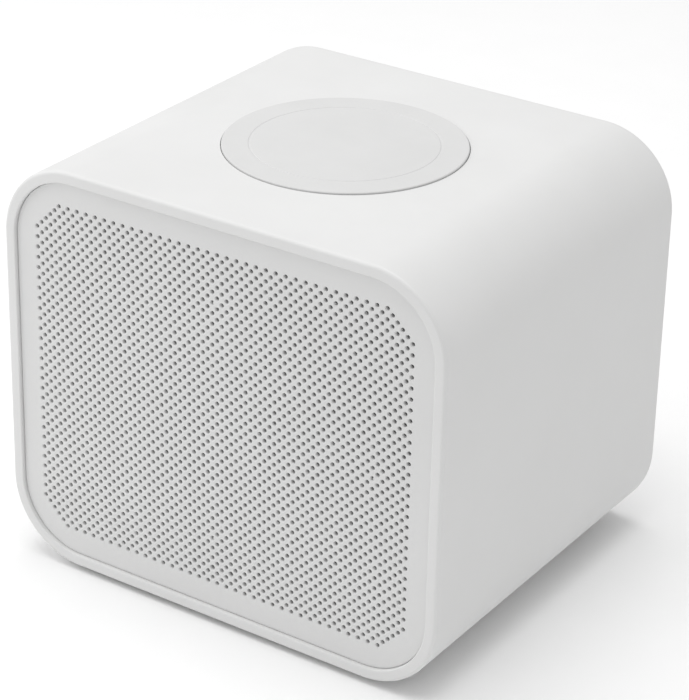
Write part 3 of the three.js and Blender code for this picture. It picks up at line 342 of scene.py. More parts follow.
def shade(piece, soften=0.0, angle=35):
    """Smooths a piece between edges sharper than the angle, which are first softened by a small
    bevel in millimetres where one is given. Flat faces keep their own direction."""
    if soften:
        bevel = piece.modifiers.new("soften", "BEVEL")
        bevel.width = soften / 1000
        bevel.segments = 2
        bevel.limit_method = "ANGLE"
        bevel.angle_limit = math.radians(50)
        settle(piece)
    piece.data.polygons.foreach_set("use_smooth", np.ones(len(piece.data.polygons), bool))
    piece.data.set_sharp_from_angle(angle=math.radians(angle))
    even = piece.modifiers.new("even", "WEIGHTED_NORMAL")
    even.keep_sharp = True
    settle(piece)


def fit(piece, body, slot, materials, *nodes):
    """Gives a piece its materials and body, and puts it in place of the CAD nodes it stands for. The slot
    is not used.
    """
    for material in materials:
        piece.data.materials.append(material)
    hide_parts(*nodes)
    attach(piece, body)


def tube(outer, inner, bottom, top, depth_bottom, depth_top, place, axis):
    """A post with a screw hole down from each end that has a depth."""
    points = [(0, bottom), (outer, bottom), (outer, top), (0, top)]
    if depth_bottom:
        points = [(0, bottom + depth_bottom), (inner, bottom + depth_bottom), (inner, bottom)] + points[1:]
    if depth_top:
        points = points[:-1] + [(inner, top), (inner, top - depth_top), (0, top - depth_top)]
    return turned(points, 24, place, axis)


shell_outline = rounded_rectangle(SHELL_WIDTH, SHELL_HEIGHT, CORNER, 24)
shell_profile = eased(
    [
        (0, SHELL_FRONT), (0, SHELL_BACK), (WALL, SHELL_BACK),
        (WALL, REAR_LEDGE), (WALL + LEDGE, REAR_LEDGE),
        (WALL + LEDGE, REAR_LEDGE - LEDGE_THICKNESS), (WALL, REAR_LEDGE - LEDGE_THICKNESS),
        (WALL, FRONT_LEDGE + LEDGE_THICKNESS), (WALL + LEDGE, FRONT_LEDGE + LEDGE_THICKNESS),
        (WALL + LEDGE, FRONT_LEDGE), (WALL, FRONT_LEDGE), (WALL, SHELL_FRONT),
    ],
    [1, 2.4, 0.2, 0.2, 0.3, 0.3, 0.4, 0.4, 0.3, 0.3, 0.2, 0.35],
    6,
)
shell = make_piece("shell_sleeve", swept(shell_outline, shell_profile, closed=True))
foot_pocket = [(0, 0.5), (6.2, 0.5), (6.2, 2.5), (0, 2.5)]
pad_pocket = [(0, 111.5), (31.2, 111.5), (31.2, 114), (0, 114)]
carve(
    shell,
    *[turned(foot_pocket, 48, (x, y, 0), "z") for x, y in FOOT_PLACES],
    turned(pad_pocket, 160, (0, 0, 0), "z"),
)
shade(shell, soften=0.12)
posts = [
    tube(COLUMN_RADIUS, PILOT_RADIUS, FRONT_LEDGE, REAR_LEDGE, PILOT_DEPTH, PILOT_DEPTH, (x, 0, z), "y")
    for x, z in COLUMN_PLACES
]
posts += [tube(POST_RADIUS, PILOT_RADIUS, 3.1, 9.9, 0, 5.2, (x, y, 0), "z") for x, y in BOARD_POSTS]
posts += [tube(POST_RADIUS, PILOT_RADIUS, 106.7, 110.1, 3.4, 0, (x, 0, 0), "z") for x in TRAY_POSTS]
shell_posts = make_piece("shell_posts", *posts)
shade(shell_posts)
shell_white = moulded(
    "shell_white", ((0.728, 0.728, 0.724), (0.752, 0.752, 0.749)), (0.46, 0.56), 0.32, 0.012, patch=35
)
fit(shell, "cabinet", "shell", [shell_white], "main_shell")
shell_posts.data.materials.append(shell_white)
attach(shell_posts, "cabinet")

# Front grille
# A white plastic panel pierced by 2,543 round holes on a diagonal lattice, with a softened rim each.
# Three slightly wider ones near the lower edge let the status light out. Four pegs push into the
# baffle, so it has no screws, and the root of each part-fills the holes it meets.
LATTICE = 1.414214
FIELD_COLUMNS, FIELD_ROWS, FIELD_CUT = 39, 32, 66
GRILLE_OUTLINE = (123.5, 104.5, 17.75)
GRILLE_FRONT, GRILLE_BACK = -54, -52
EDGE_EASE = 0.3
HOLE_RADIUS = 0.56
RIM_WIDTH, RIM_DEPTH = 0.2, 0.2
HOLE_SIDES = 10
LIT_HOLES = ((-5, -29), (-1, -29), (3, -29))
LIT_EXTRA = 0.1
PEG_PLACES = [(0, MIDDLE - 32.53), (0, MIDDLE + 32.53), (-46.67, MIDDLE), (46.67, MIDDLE)]
PEG_RADIUS, PEG_END = 1, -49.4
ROOT_SHIFT = (0.3, 0.1)


def in_field(column, row):
    """True where a lattice site carries a hole: inside the columns, the rows and the cut corners."""
    inside = (abs(column) <= FIELD_COLUMNS) & (abs(row) <= FIELD_ROWS)
    return inside & (abs(column) + abs(row) <= FIELD_CUT)


def cell_pattern(sides):
    """Triangles between a cell's four corners, numbered 0 to 3, and its hole's rim, numbered from 4.
    Each rim side goes to its nearest corner, and each cell side to the rim place between two corners."""
    owner = [round((k + 1) * 4 / sides) % 4 for k in range(sides)]
    rim = [(owner[k], 4 + (k + 1) % sides, 4 + k) for k in range(sides)]
    turns = [k for k in range(sides) if owner[k - 1] != owner[k]]
    return np.array(rim + [(owner[k - 1], owner[k], 4 + k) for k in turns])


def perforated_panel():
    """The pierced field as diamond cells that share their corners. Each cell has a front face, the rim's
    slope, the hole's wall and a back face, all from one pattern repeated over the lattice. A flat
    border of triangles joins the field to the panel's outline, front and back."""
    columns, rows = (np.arange(-reach, reach + 1) for reach in (FIELD_COLUMNS, FIELD_ROWS))
    column, row = np.meshgrid(columns, rows, indexing="ij")
    kept = in_field(column, row) & ((column + row) % 2 == 0)
    sites = np.stack([column[kept], row[kept]], axis=1)
    count = len(sites)
    steps = np.array([(1, 0), (0, 1), (-1, 0), (0, -1)])
    around = sites[:, None] + steps[None]
    corners, corner_of = np.unique(around.reshape(-1, 2), axis=0, return_inverse=True)
    corner_of = corner_of.reshape(count, 4)
    corner_xz = corners * LATTICE + (0, MIDDLE)

    angle = (np.arange(HOLE_SIDES) + 0.5) * 2 * math.pi / HOLE_SIDES
    lit = (sites[:, None] == np.array(LIT_HOLES)[None]).all(axis=2).any(axis=1)
    radius = np.where(lit, HOLE_RADIUS + LIT_EXTRA, HOLE_RADIUS)[:, None, None]
    circle = np.stack([np.cos(angle), np.sin(angle)], axis=1)[None]
    centre = (sites * LATTICE + (0, MIDDLE))[:, None]

    def level(spots, depth):
        flat = spots.reshape(-1, 2)
        return np.stack([flat[:, 0], np.full(len(flat), depth), flat[:, 1]], axis=1)

    border = rounded_rectangle(*GRILLE_OUTLINE, 24)
    border_profile = np.array(
        [
            (EDGE_EASE, GRILLE_FRONT), (0.3 * EDGE_EASE, GRILLE_FRONT + 0.3 * EDGE_EASE),
            (0, GRILLE_FRONT + EDGE_EASE), (0, GRILLE_BACK),
        ]
    )
    layers = [
        level(corner_xz, GRILLE_FRONT),
        level(corner_xz, GRILLE_BACK),
        level(centre + (radius + RIM_WIDTH) * circle, GRILLE_FRONT),
        level(centre + radius * circle, GRILLE_FRONT + RIM_DEPTH),
        level(centre + radius * circle, GRILLE_BACK),
    ]
    layers += [level(border[0] - inset * border[1], depth) for inset, depth in border_profile]
    starts = np.concatenate([[0], np.cumsum([len(layer) for layer in layers])[:-1]])
    front_corners, back_corners, rim_top, rim_foot, hole_back, *edge_rings = starts
    ring = np.arange(count * HOLE_SIDES).reshape(count, HOLE_SIDES)

    pattern = cell_pattern(HOLE_SIDES)
    front = np.concatenate([corner_of + front_corners, ring + rim_top], axis=1)[:, pattern]
    back = np.concatenate([corner_of + back_corners, ring + hole_back], axis=1)[:, pattern[:, ::-1]]
    front, back = front.reshape(-1, 3), back.reshape(-1, 3)
    beside = np.roll(ring, -1, axis=1)
    walls = [
        np.stack([ring + a, beside + a, beside + b, ring + b], axis=-1).reshape(-1, 4)
        for a, b in ((rim_top, rim_foot), (rim_foot, hole_back))
    ]

    sides = np.stack([corner_of, np.roll(corner_of, -1, axis=1)], axis=-1).reshape(-1, 2)
    unique, times = np.unique(np.sort(sides, axis=1), axis=0, return_counts=True)
    edge = unique[times == 1]
    used = np.unique(edge)
    number = np.zeros(len(corners), int)
    number[used] = np.arange(len(used))
    rim_count = len(border[0])
    rim_spots = border[0] - EDGE_EASE * border[1]
    loop = np.arange(rim_count) + len(used)
    spots = np.concatenate([corner_xz[used], rim_spots])
    lines = np.concatenate([number[edge], np.stack([loop, np.roll(loop, -1)], axis=1)])
    flat, _, triangles, *_ = delaunay_2d_cdt(spots.tolist(), lines.tolist(), [], 0, 1e-6, False)
    triangles = np.array([list(triangle) for triangle in triangles])
    flat = np.array([tuple(place) for place in flat])
    middle = (flat[triangles].mean(axis=1) - (0, MIDDLE)) / LATTICE
    rising, falling = np.round(middle.sum(axis=1) / 2), np.round((middle[:, 0] - middle[:, 1]) / 2)
    triangles = triangles[~in_field(rising + falling, rising - falling)]
    a, b, c = (flat[triangles[:, k]] for k in range(3))
    wrong = (b - a)[:, 0] * (c - a)[:, 1] < (b - a)[:, 1] * (c - a)[:, 0]
    triangles[wrong] = triangles[wrong][:, ::-1]
    to_front = np.concatenate([used + front_corners, np.arange(rim_count) + edge_rings[0]])
    to_back = np.concatenate([used + back_corners, np.arange(rim_count) + edge_rings[-1]])

    here, beside = np.arange(rim_count), (np.arange(rim_count) + 1) % rim_count
    edges = [
        np.stack([beside + a, here + a, here + b, beside + b], axis=-1)
        for a, b in zip(edge_rings, edge_rings[1:])
    ]
    groups = [front, to_front[triangles], back, to_back[triangles][:, ::-1], *walls, *edges]
    return np.concatenate(layers), groups


grille_points, grille_groups = perforated_panel()
pegs = [tube(PEG_RADIUS, 0, GRILLE_BACK - 0.5, PEG_END, 0, 0, (x, 0, z), "y") for x, z in PEG_PLACES]
peg_root = [(0, -53.8), (0.8, -53.78), (1.0, -53.7), (1.1, -53.5), (1.1, -52.2), (0, -52.2)]
pegs += [turned(peg_root, 24, (x - ROOT_SHIFT[0], 0, z - ROOT_SHIFT[1])) for x, z in PEG_PLACES]
grille = make_piece("grille_panel", (grille_points, grille_groups), *pegs)
flat_faces = sum(len(group) for group in grille_groups[:4])
grille.data.polygons.foreach_set("use_smooth", np.arange(len(grille.data.polygons)) >= flat_faces)
grille_white = moulded(
    "grille_white", ((0.700, 0.700, 0.697), (0.722, 0.722, 0.719)), (0.42, 0.52), 0.5, 0.005, patch=40
)
fit(grille, "cabinet", "grille", [grille_white], "front_grille")

# Charging pad
# A disc of matte silicone pressed into a shallow seat in the top, with one moulded ring that marks
# where the charger's coil lies below it.
PAD_RADIUS, PAD_BOTTOM, PAD_TOP = 31, 111.6, 113.0
RING_DEPTH = 0.14


def eased_to_axis(points, lengths):
    """Rounds the corners of a profile as eased does, and puts its two ends on the axis."""
    profile = eased(points, lengths)
    profile[[0, -1], 0] = 0
    return profile


pad_profile = eased_to_axis(
    [
        (0.001, PAD_BOTTOM), (PAD_RADIUS, PAD_BOTTOM), (PAD_RADIUS, PAD_TOP), (24.3, PAD_TOP),
        (24.15, PAD_TOP - RING_DEPTH), (23.85, PAD_TOP - RING_DEPTH), (23.7, PAD_TOP), (0.001, PAD_TOP),
    ],
    [0, 0.1, 0.35, 0.08, 0.05, 0.05, 0.08, 0],
)
pad = make_piece("charging_disc", turned(pad_profile, 192, (0, 0, 0), "z"))
shade(pad)
pad_silicone = moulded(
    "pad_silicone", ((0.640, 0.640, 0.637), (0.670, 0.670, 0.667)), (0.72, 0.8), 0.22, 0.01, patch=25
)
fit(pad, "cabinet", "pad_silicone", [pad_silicone], "charging_pad")

# Grille cloth
# Grey acoustic cloth, cut to the panel's outline and glued flat behind the holes, with a round hole for
# each peg. It keeps dust out and hides the baffle.
CLOTH_FRONT, CLOTH_BACK = -51.7, -51.3
cloth_outline = rounded_rectangle(122, 103, 17, 24)
cloth_edge = [(0.1, CLOTH_FRONT), (0, CLOTH_FRONT + 0.1), (0, CLOTH_BACK - 0.1), (0.1, CLOTH_BACK)]
cloth = make_piece("grille_cloth_sheet", swept(cloth_outline, cloth_edge))
carve(cloth, *[tube(1.3, 0, CLOTH_FRONT - 1, CLOTH_BACK + 1, 0, 0, (x, 0, z), "y") for x, z in PEG_PLACES])
shade(cloth)
cloth_weave = new_finish("cloth_weave")
drift = texture(cloth_weave, "Noise", 12, Detail=4.0)
tint(cloth_weave, drift, ((0.50, 0.50, 0.50), (0.60, 0.60, 0.60)))
polish(cloth_weave, drift, 0.88, 0.96)
emboss(cloth_weave, texture(cloth_weave, "Wave", 0.6, bands_direction="X", wave_profile="SIN"), 0.08)
emboss(cloth_weave, texture(cloth_weave, "Wave", 0.6, bands_direction="Z", wave_profile="SIN"), 0.08)
cloth_weave.node_tree.nodes["Principled BSDF"].inputs["Sheen Weight"].default_value = 0.25
fit(cloth, "cabinet", "cloth", [cloth_weave], "grille_cloth")

# Front baffle and its screws
# A ribbed sheet of black ABS that carries the driver, seated on the front ledge. Four pan-head screws
# with a cross recess hold it to the corner columns.
THREAD_PITCH = 0.8
HEAD_RADIUS, HEAD_HEIGHT = 2.3, 1.3
SHANK_RADIUS, THREAD_DEPTH = 1.2, 0.28
SCREW_STEPS = 40


def dress(node, material):
    """Gives a CAD node a finish in each of its material slots."""
    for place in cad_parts[node].material_slots:
        place.material = material


def screw(name, node, way):
    """A pan-head screw in the box of its CAD node, its point towards way. Its rings run over a domed
    head, down its side and along the shank. The cross recess deepens the head where a point lies near
    either arm, and the thread is a ridge whose phase is depth over pitch less the turn."""
    low, high = (np.array(corner) * 1000 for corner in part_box(node))
    middle = (low + high) / 2
    axis = "xyz".index(way[1])
    sign = 1 if way[0] == "+" else -1
    length = high[axis] - low[axis]
    middle[axis] = low[axis] if sign > 0 else high[axis]
    turn = np.arange(SCREW_STEPS) * 2 * math.pi / SCREW_STEPS

    top = np.array([0.12, 0.24, 0.32, 0.42, 0.6, 0.8, 1.0, 1.12, 1.24, 1.5, 1.9, 2.15])[:, None]
    x, z = top * np.cos(turn), top * np.sin(turn)
    arm = np.clip((0.34 - np.minimum(abs(x), abs(z))) / 0.08, 0, 1)
    reach = np.clip((1.24 - np.maximum(abs(x), abs(z))) / 0.2, 0, 1)
    head_depth = 0.02 + 0.05 * top**2 + 0.75 * arm * reach
    side = np.array(
        [(2.27, 0.35), (HEAD_RADIUS, 0.5), (HEAD_RADIUS, HEAD_HEIGHT), (SHANK_RADIUS, HEAD_HEIGHT)]
    )
    side_radii, side_depths = (np.repeat(side[:, k : k + 1], SCREW_STEPS, axis=1) for k in range(2))

    depth = np.arange(HEAD_HEIGHT + 0.15, length - 0.1, THREAD_PITCH / 5)[:, None]
    phase = (depth / THREAD_PITCH - turn / (2 * math.pi)) % 1
    fade = np.clip((length - depth) / 1.2, 0.08, 1)
    shank = (SHANK_RADIUS - THREAD_DEPTH * (1 - abs(2 * phase - 1))) * fade

    radii = np.concatenate([np.broadcast_to(top, x.shape), side_radii, shank])
    depths = np.concatenate([head_depth, side_depths, np.broadcast_to(depth, shank.shape)])
    x, z = radii * np.cos(turn), radii * np.sin(turn)
    rows = len(radii)
    grid = np.stack([x, depths, z], axis=-1).reshape(-1, 3)
    spots = np.concatenate([grid, [(0, 0.77, 0), (0, length, 0)]])
    here, beside = np.arange(SCREW_STEPS), (np.arange(SCREW_STEPS) + 1) % SCREW_STEPS
    last, count = (rows - 1) * SCREW_STEPS, rows * SCREW_STEPS
    faces = [
        grid_faces(rows, SCREW_STEPS, False),
        np.stack([np.full(SCREW_STEPS, count), beside, here], axis=-1),
        np.stack([np.full(SCREW_STEPS, count + 1), here + last, beside + last], axis=-1),
    ]
    x, h, z = spots.T
    turned_to = {"+y": (x, h, z), "-y": (x, -h, -z), "-z": (x, z, -h), "+z": (x, -z, h)}[way]
    piece = make_piece(name, (np.stack(turned_to, axis=1) + middle, faces))
    shade(piece)
    fit(piece, "cabinet", "screw_steel", [screw_steel], node)


baffle_black = moulded(
    "baffle_black", ((0.032, 0.032, 0.034), (0.045, 0.045, 0.048)), (0.5, 0.62), 0.4, 0.02
)
dress("front_baffle", baffle_black)
screw_steel = moulded(
    "screw_steel", ((0.42, 0.42, 0.41), (0.56, 0.56, 0.55)), (0.28, 0.42), 0.5, 0.004, patch=2, metallic=1.0
)
for number in range(1, 5):
    screw(f"baffle_fixing_{number}", f"baffle_screw_{number}", "+y")

# Loudspeaker driver
# A 70 mm full-range driver screwed behind the baffle on a foam ring: pressed steel basket, rubber
# surround, coated paper cone, resin-dipped spider, copper coil on its former, and a ferrite motor.
DRIVER_PLACE = (0, -48, MIDDLE)
DRIVER_RADIUS = 35
DRIVER_STEPS = 96


def driver_piece(name, profile, body, slot, materials, *nodes):
    """A driver part turned about the driver's axis and put in place of its CAD node."""
    piece = make_piece(name, turned(profile, DRIVER_STEPS, DRIVER_PLACE))
    shade(piece)
    fit(piece, body, slot, materials, *nodes)
    return piece


foam_black = new_finish("foam_black")
cells = texture(foam_black, "Voronoi", 0.5)
tint(foam_black, cells, ((0.012, 0.012, 0.012), (0.045, 0.045, 0.045)), 0.1, 0.7)
polish(foam_black, cells, 0.85, 0.98)
emboss(foam_black, cells, 0.12)
driver_piece(
    "driver_foam_ring", eased([(30, 0.1), (DRIVER_RADIUS, 0.1), (DRIVER_RADIUS, 0.7), (30, 0.7)], 0.15),
    "cabinet", "foam", [foam_black], "driver_gasket",
)

basket_profile = eased(
    [
        (27, 0.8), (DRIVER_RADIUS, 0.8), (DRIVER_RADIUS, 2.2), (28.8, 2.2), (22.2, 12.5), (22.2, 13.7),
        (20.7, 13.7), (20.7, 19.4), (12, 19.4), (12, 18.2), (19.5, 18.2), (19.5, 12.5), (21, 12.5),
        (27, 2.2),
    ],
    [0.2, 0.3, 0.3, 0.5, 0.3, 0.3, 0.2, 0.5, 0.1, 0.1, 0.4, 0.1, 0.1, 0.4],
    3,
)
basket = make_piece("driver_frame", turned(basket_profile, DRIVER_STEPS, DRIVER_PLACE))


def block(low, high, soft=0.15):
    """A box between two corners with softened edges: a rounded rectangle swept from front to back."""
    low, high = np.array(low, float), np.array(high, float)
    size, middle = high - low, (low + high) / 2
    outline = rounded_rectangle(size[0], size[2], 1.6 * soft, 2, middle[[0, 2]])
    front, back = low[1], high[1]
    return swept(outline, [(soft, front), (0, front + soft), (0, back - soft), (soft, back)])


window, window_front, window_back = 11, -44.2, -36.5
fixing = 22.98
carve(
    basket,
    *[
        block((-x, window_front, MIDDLE - z), (x, window_back, MIDDLE + z), 1.2)
        for x, z in ((DRIVER_RADIUS, window), (window, DRIVER_RADIUS))
    ],
    *[
        tube(1.5, 0, -50, -44, 0, 0, (x, 0, MIDDLE + z), "y")
        for x in (-fixing, fixing) for z in (-fixing, fixing)
    ],
)
shade(basket, soften=0.1)
pressed_steel = moulded(
    "pressed_steel", ((0.40, 0.41, 0.42), (0.54, 0.55, 0.56)), (0.25, 0.42), 0.6, 0.006, patch=6,
    metallic=1.0,
)
fit(basket, "cabinet", "driver_steel", [pressed_steel], "driver_basket")

ROLL_RADIUS, ROLL_HEIGHT, RUBBER = 24.55, 2.25, 0.5
LIP_INNER, LIP_OUTER = (20.8, -0.2), (29.3, 0.2)
roll = np.linspace(0, math.pi, 17)
roll_level = np.linspace(LIP_INNER[1], LIP_OUTER[1], 17)
roll_front, roll_back = (
    np.stack(
        [ROLL_RADIUS - size * np.cos(roll), roll_level + ROLL_HEIGHT - size - size * np.sin(roll)], axis=1
    )
    for size in (ROLL_HEIGHT, ROLL_HEIGHT - RUBBER)
)
surround_profile = np.concatenate(
    [
        [LIP_INNER], roll_front, [LIP_OUTER, (LIP_OUTER[0], LIP_OUTER[1] + RUBBER)], roll_back[::-1],
        [(LIP_INNER[0], LIP_INNER[1] + RUBBER)],
    ]
)
surround_rubber = moulded(
    "surround_rubber", ((0.016, 0.016, 0.017), (0.024, 0.024, 0.025)), (0.42, 0.55), 0.25, 0.01, patch=8
)
driver_piece(
    "driver_roll", surround_profile, "cabinet", "surround_rubber", [surround_rubber], "driver_surround"
)

cone_paper = new_finish("cone_paper")
fibres = texture(cone_paper, "Noise", 1.2, (1, 3, 1), Detail=8.0, Roughness=0.7)
tint(cone_paper, fibres, ((0.018, 0.018, 0.020), (0.040, 0.040, 0.043)))
polish(cone_paper, fibres, 0.6, 0.82)
emboss(cone_paper, fibres, 0.05)
cone_profile = eased(
    [(8.4, 10), (20.8, 0.4), (22.2, 0.4), (22.2, 1.0), (21.1, 1.0), (9.4, 10.6), (8.4, 10.6)],
    [0.1, 0.6, 0.1, 0.1, 0.4, 0.2, 0.1],
)
driver_piece("driver_paper_cone", cone_profile, "cone", "cone_paper", [cone_paper], "driver_cone")

CAP_BASE = 8.274
cap_turn = np.linspace(0, math.pi / 2, 13)
cap_front, cap_back = (
    np.stack([radius * np.sin(cap_turn), CAP_BASE - rise * np.cos(cap_turn)], axis=1)
    for radius, rise in ((10.5, 4), (9.9, 3.4))
)
cap_coated = moulded(
    "cap_coated", ((0.020, 0.020, 0.022), (0.032, 0.032, 0.034)), (0.3, 0.42), 0.4, 0.01, patch=4, coat=0.3
)
driver_piece(
    "driver_dome", np.concatenate([cap_front, cap_back[::-1]]), "cone", "cone_paper", [cap_coated],
    "driver_dust_cap",
)

WAVE_START, WAVE_END, WAVE_LENGTH, WAVE_HEIGHT = 10.3, 19.4, 2.275, 0.3
NECK_STEP, SPIDER_SHEET = 0.3, 0.4
spider_radius = np.linspace(9.1, 20.8, 79)
wave_fade = np.clip(np.minimum(spider_radius - WAVE_START, WAVE_END - spider_radius) / 0.6, 0, 1)
wave = 1 - np.cos((spider_radius - WAVE_START) * 2 * math.pi / WAVE_LENGTH)
neck = np.clip((WAVE_START - spider_radius) / 0.7, 0, 1)
spider_front = np.stack([spider_radius, 12 - WAVE_HEIGHT * wave_fade * wave + NECK_STEP * neck], axis=1)
spider_resin = new_finish("spider_resin")
threads = texture(spider_resin, "Wave", 0.55, bands_direction="X")
tint(spider_resin, texture(spider_resin, "Noise", 6, Detail=4.0), ((0.46, 0.28, 0.08), (0.60, 0.40, 0.15)))
polish(spider_resin, threads, 0.5, 0.75)
emboss(spider_resin, threads, 0.06)
emboss(spider_resin, texture(spider_resin, "Wave", 0.55, bands_direction="Z"), 0.06)
driver_piece(
    "driver_corrugated_spider", np.concatenate([spider_front, (spider_front + (0, SPIDER_SHEET))[::-1]]),
    "cabinet", "spider_cloth", [spider_resin], "driver_spider",
)

WINDING_START, WINDING_END, WIRE = 12.2, 25.6, 0.4
turns = np.arange(WINDING_START, WINDING_END, WIRE / 4)
coil_side = np.stack([8.9 + 0.1 * abs(np.sin((turns - WINDING_START) * math.pi / WIRE)), turns], axis=1)
former_front, former_back = [(8.3, 10.7), (8.6, 10.7), (8.6, 12.1)], [(8.6, 25.7), (8.3, 25.7)]
coil_profile = np.concatenate([former_front, coil_side, former_back])
copper_wire = new_finish("copper_wire", metallic=1.0)
drift = texture(copper_wire, "Noise", 3, Detail=4.0)
tint(copper_wire, drift, ((0.62, 0.28, 0.13), (0.80, 0.44, 0.24)))
polish(copper_wire, drift, 0.22, 0.36)
emboss(copper_wire, texture(copper_wire, "Noise", 0.3, (1, 6, 1)), 0.005)
driver_piece("driver_winding", coil_profile, "cone", "copper", [copper_wire], "driver_voice_coil")

driver_piece(
    "driver_top_plate", eased([(9.4, 19.5), (20.8, 19.5), (20.8, 23.5), (9.4, 23.5)], 0.35), "cabinet",
    "driver_steel", [pressed_steel], "driver_front_plate",
)
sintered_ferrite = moulded(
    "sintered_ferrite", ((0.028, 0.028, 0.031), (0.055, 0.055, 0.058)), (0.5, 0.7), 0.35, 0.03, patch=3,
    metallic=0.15,
)
driver_piece(
    "driver_ferrite_ring", eased([(11, 23.6), (22.5, 23.6), (22.5, 33.6), (11, 33.6)], 0.5), "cabinet",
    "ferrite", [sintered_ferrite], "driver_magnet",
)
yoke_profile = eased_to_axis(
    [
        (0.001, 19.5), (7.9, 19.5), (7.9, 33.7), (20.8, 33.7), (20.8, 37.7), (3.0, 37.7), (2.6, 36.9),
        (0.001, 36.9),
    ],
    [0, 0.4, 0.5, 0.4, 0.7, 0.15, 0.15, 0],
)
driver_piece(
    "driver_pole_and_yoke", yoke_profile, "cabinet", "driver_steel", [pressed_steel], "driver_yoke"
)
terminal_card = moulded(
    "terminal_card", ((0.16, 0.09, 0.045), (0.22, 0.13, 0.07)), (0.6, 0.75), 0.5, 0.02, patch=3
)
dress("driver_terminals", terminal_card)
for number in range(1, 5):
    screw(f"driver_fixing_{number}", f"driver_screw_{number}", "-y")

# Charger under the top
# A flat coil of enamelled copper on a ferrite sheet, in a black tray screwed to two posts under the top.
# The charger's board hangs below the tray on the same two screws.
COIL_INNER, COIL_OUTER, COIL_TURNS = 10, 22, 24
COIL_BOTTOM, COIL_MIDDLE = 107.8, 108.75
coil_wire = (COIL_OUTER - COIL_INNER) / COIL_TURNS / 2
winding = np.linspace(COIL_INNER + coil_wire, COIL_OUTER - coil_wire, COIL_TURNS)[:, None]
arch = np.linspace(0, math.pi, 5)[:-1]
coil_radii = winding - coil_wire * np.cos(arch)
coil_heights = COIL_MIDDLE + coil_wire * np.broadcast_to(np.sin(arch), coil_radii.shape)
coil_top = np.stack([coil_radii.ravel(), coil_heights.ravel()], axis=1)
coil_ends = [(COIL_OUTER, COIL_MIDDLE), (COIL_OUTER, COIL_BOTTOM)]
coil_ring = np.concatenate([[(COIL_INNER, COIL_BOTTOM)], coil_top, coil_ends])
charging_winding = make_piece("charging_winding", turned(coil_ring, 120, (0, 0, 0), "z"))
shade(charging_winding)
fit(charging_winding, "cabinet", "copper", [copper_wire], "charging_coil")
ferrite_plate = make_piece("ferrite_plate", block((-25, -25, 106.7), (25, 25, 107.7), 0.1))
shade(ferrite_plate)
fit(ferrite_plate, "cabinet", "ferrite", [sintered_ferrite], "ferrite_sheet")
dress("coil_tray", baffle_black)


def board_finish(name, mask):
    """Solder mask over copper: tracks show as lighter lines that run along the board with steps."""
    material = new_finish(name)
    courses = {"Mortar Size": 0.035, "Mortar Smooth": 0.3, "Row Height": 0.12}
    tracks = texture(material, "Brick", 9, **courses)
    light = tuple(min(1.0, 1.9 * tone + 0.02) for tone in mask)
    tint(material, tracks, (mask, light), 0.2, 0.8)
    polish(material, texture(material, "Noise", 4, Detail=4.0), 0.28, 0.42)
    emboss(material, tracks, 0.03)
    emboss(material, texture(material, "Noise", 0.6), 0.006)
    return material


board_green = board_finish("board_green", (0.012, 0.075, 0.032))
dress("charger_board", board_green)
for number in (1, 2):
    screw(f"coil_fixing_{number}", f"coil_screw_{number}", "+z")

# Electronics on the floor
# The main board stands on four posts moulded in the floor. It carries a radio module under a tinned
# can, a finned heat sink over the amplifier, a capacitor, a power inductor and three lead plugs.
BOARD_TOP = 11.7
dress("main_board", board_green)
for number in range(1, 5):
    screw(f"board_fixing_{number}", f"board_screw_{number}", "-z")
tinned_steel = moulded(
    "tinned_steel", ((0.62, 0.62, 0.61), (0.74, 0.74, 0.73)), (0.2, 0.36), 0.8, 0.004, patch=5, metallic=1.0
)
radio = make_piece(
    "radio_card_and_can",
    block((-33, -26, BOARD_TOP), (-13, -12, 12.5), 0.08),
    block((-27, -25, 12.45), (-14, -13, 14.1), 0.25),
    paints=[0, 1],
)
shade(radio)
fit(radio, "cabinet", "bright_steel", [board_green, tinned_steel], "radio_module")
fin_aluminium = moulded(
    "fin_aluminium", ((0.50, 0.51, 0.52), (0.62, 0.63, 0.64)), (0.3, 0.45), 0.4, 0.01, patch=6,
    metallic=1.0, stretch=(6, 1, 1),
)
dress("heat_sink", fin_aluminium)
sleeve_blue = moulded(
    "sleeve_blue", ((0.010, 0.022, 0.075), (0.016, 0.032, 0.10)), (0.3, 0.42), 0.6, 0.004, patch=5
)
can_profile = eased_to_axis(
    [
        (0.001, BOARD_TOP), (5, BOARD_TOP), (5, 13.7), (4.5, 14.5), (5, 15.3), (5, 27.7), (4.2, 27.7),
        (4.1, 27.5), (0.001, 27.5),
    ],
    [0, 0.4, 0.4, 0.4, 0.4, 0.35, 0.05, 0.05, 0],
)
capacitor = make_piece("capacitor_can", turned(can_profile, 64, (-15, 16, 0), "z"))
shade(capacitor)
fit(capacitor, "cabinet", "capacitor_sleeve", [sleeve_blue], "capacitor")
core_profile = eased_to_axis([(0.001, 12.9), (5.6, 12.9), (5.6, 18.2), (0.001, 18.2)], [0, 0.3, 0.6, 0])
core_base = block((-8, 18, BOARD_TOP), (4, 30, 13.1), 0.25)
inductor = make_piece("inductor_core", core_base, turned(core_profile, 64, (-2, 24, 0), "z"))
shade(inductor)
fit(inductor, "cabinet", "ferrite", [sintered_ferrite], "power_inductor")
clear_pipe = new_finish("clear_pipe")
clear_shader = clear_pipe.node_tree.nodes["Principled BSDF"]
clear_shader.inputs["Transmission Weight"].default_value = 0.9
clear_shader.inputs["IOR"].default_value = 1.49
haze = texture(clear_pipe, "Noise", 3, Detail=3.0)
tint(clear_pipe, haze, ((0.90, 0.92, 0.93), (0.96, 0.97, 0.98)))
polish(clear_pipe, haze, 0.05, 0.14)
emboss(clear_pipe, haze, 0.01)
dress("light_pipe", clear_pipe)
lead_sleeve = moulded(
    "lead_sleeve", ((0.02, 0.02, 0.022), (0.035, 0.035, 0.037)), (0.38, 0.5), 0.5, 0.006, patch=6
)
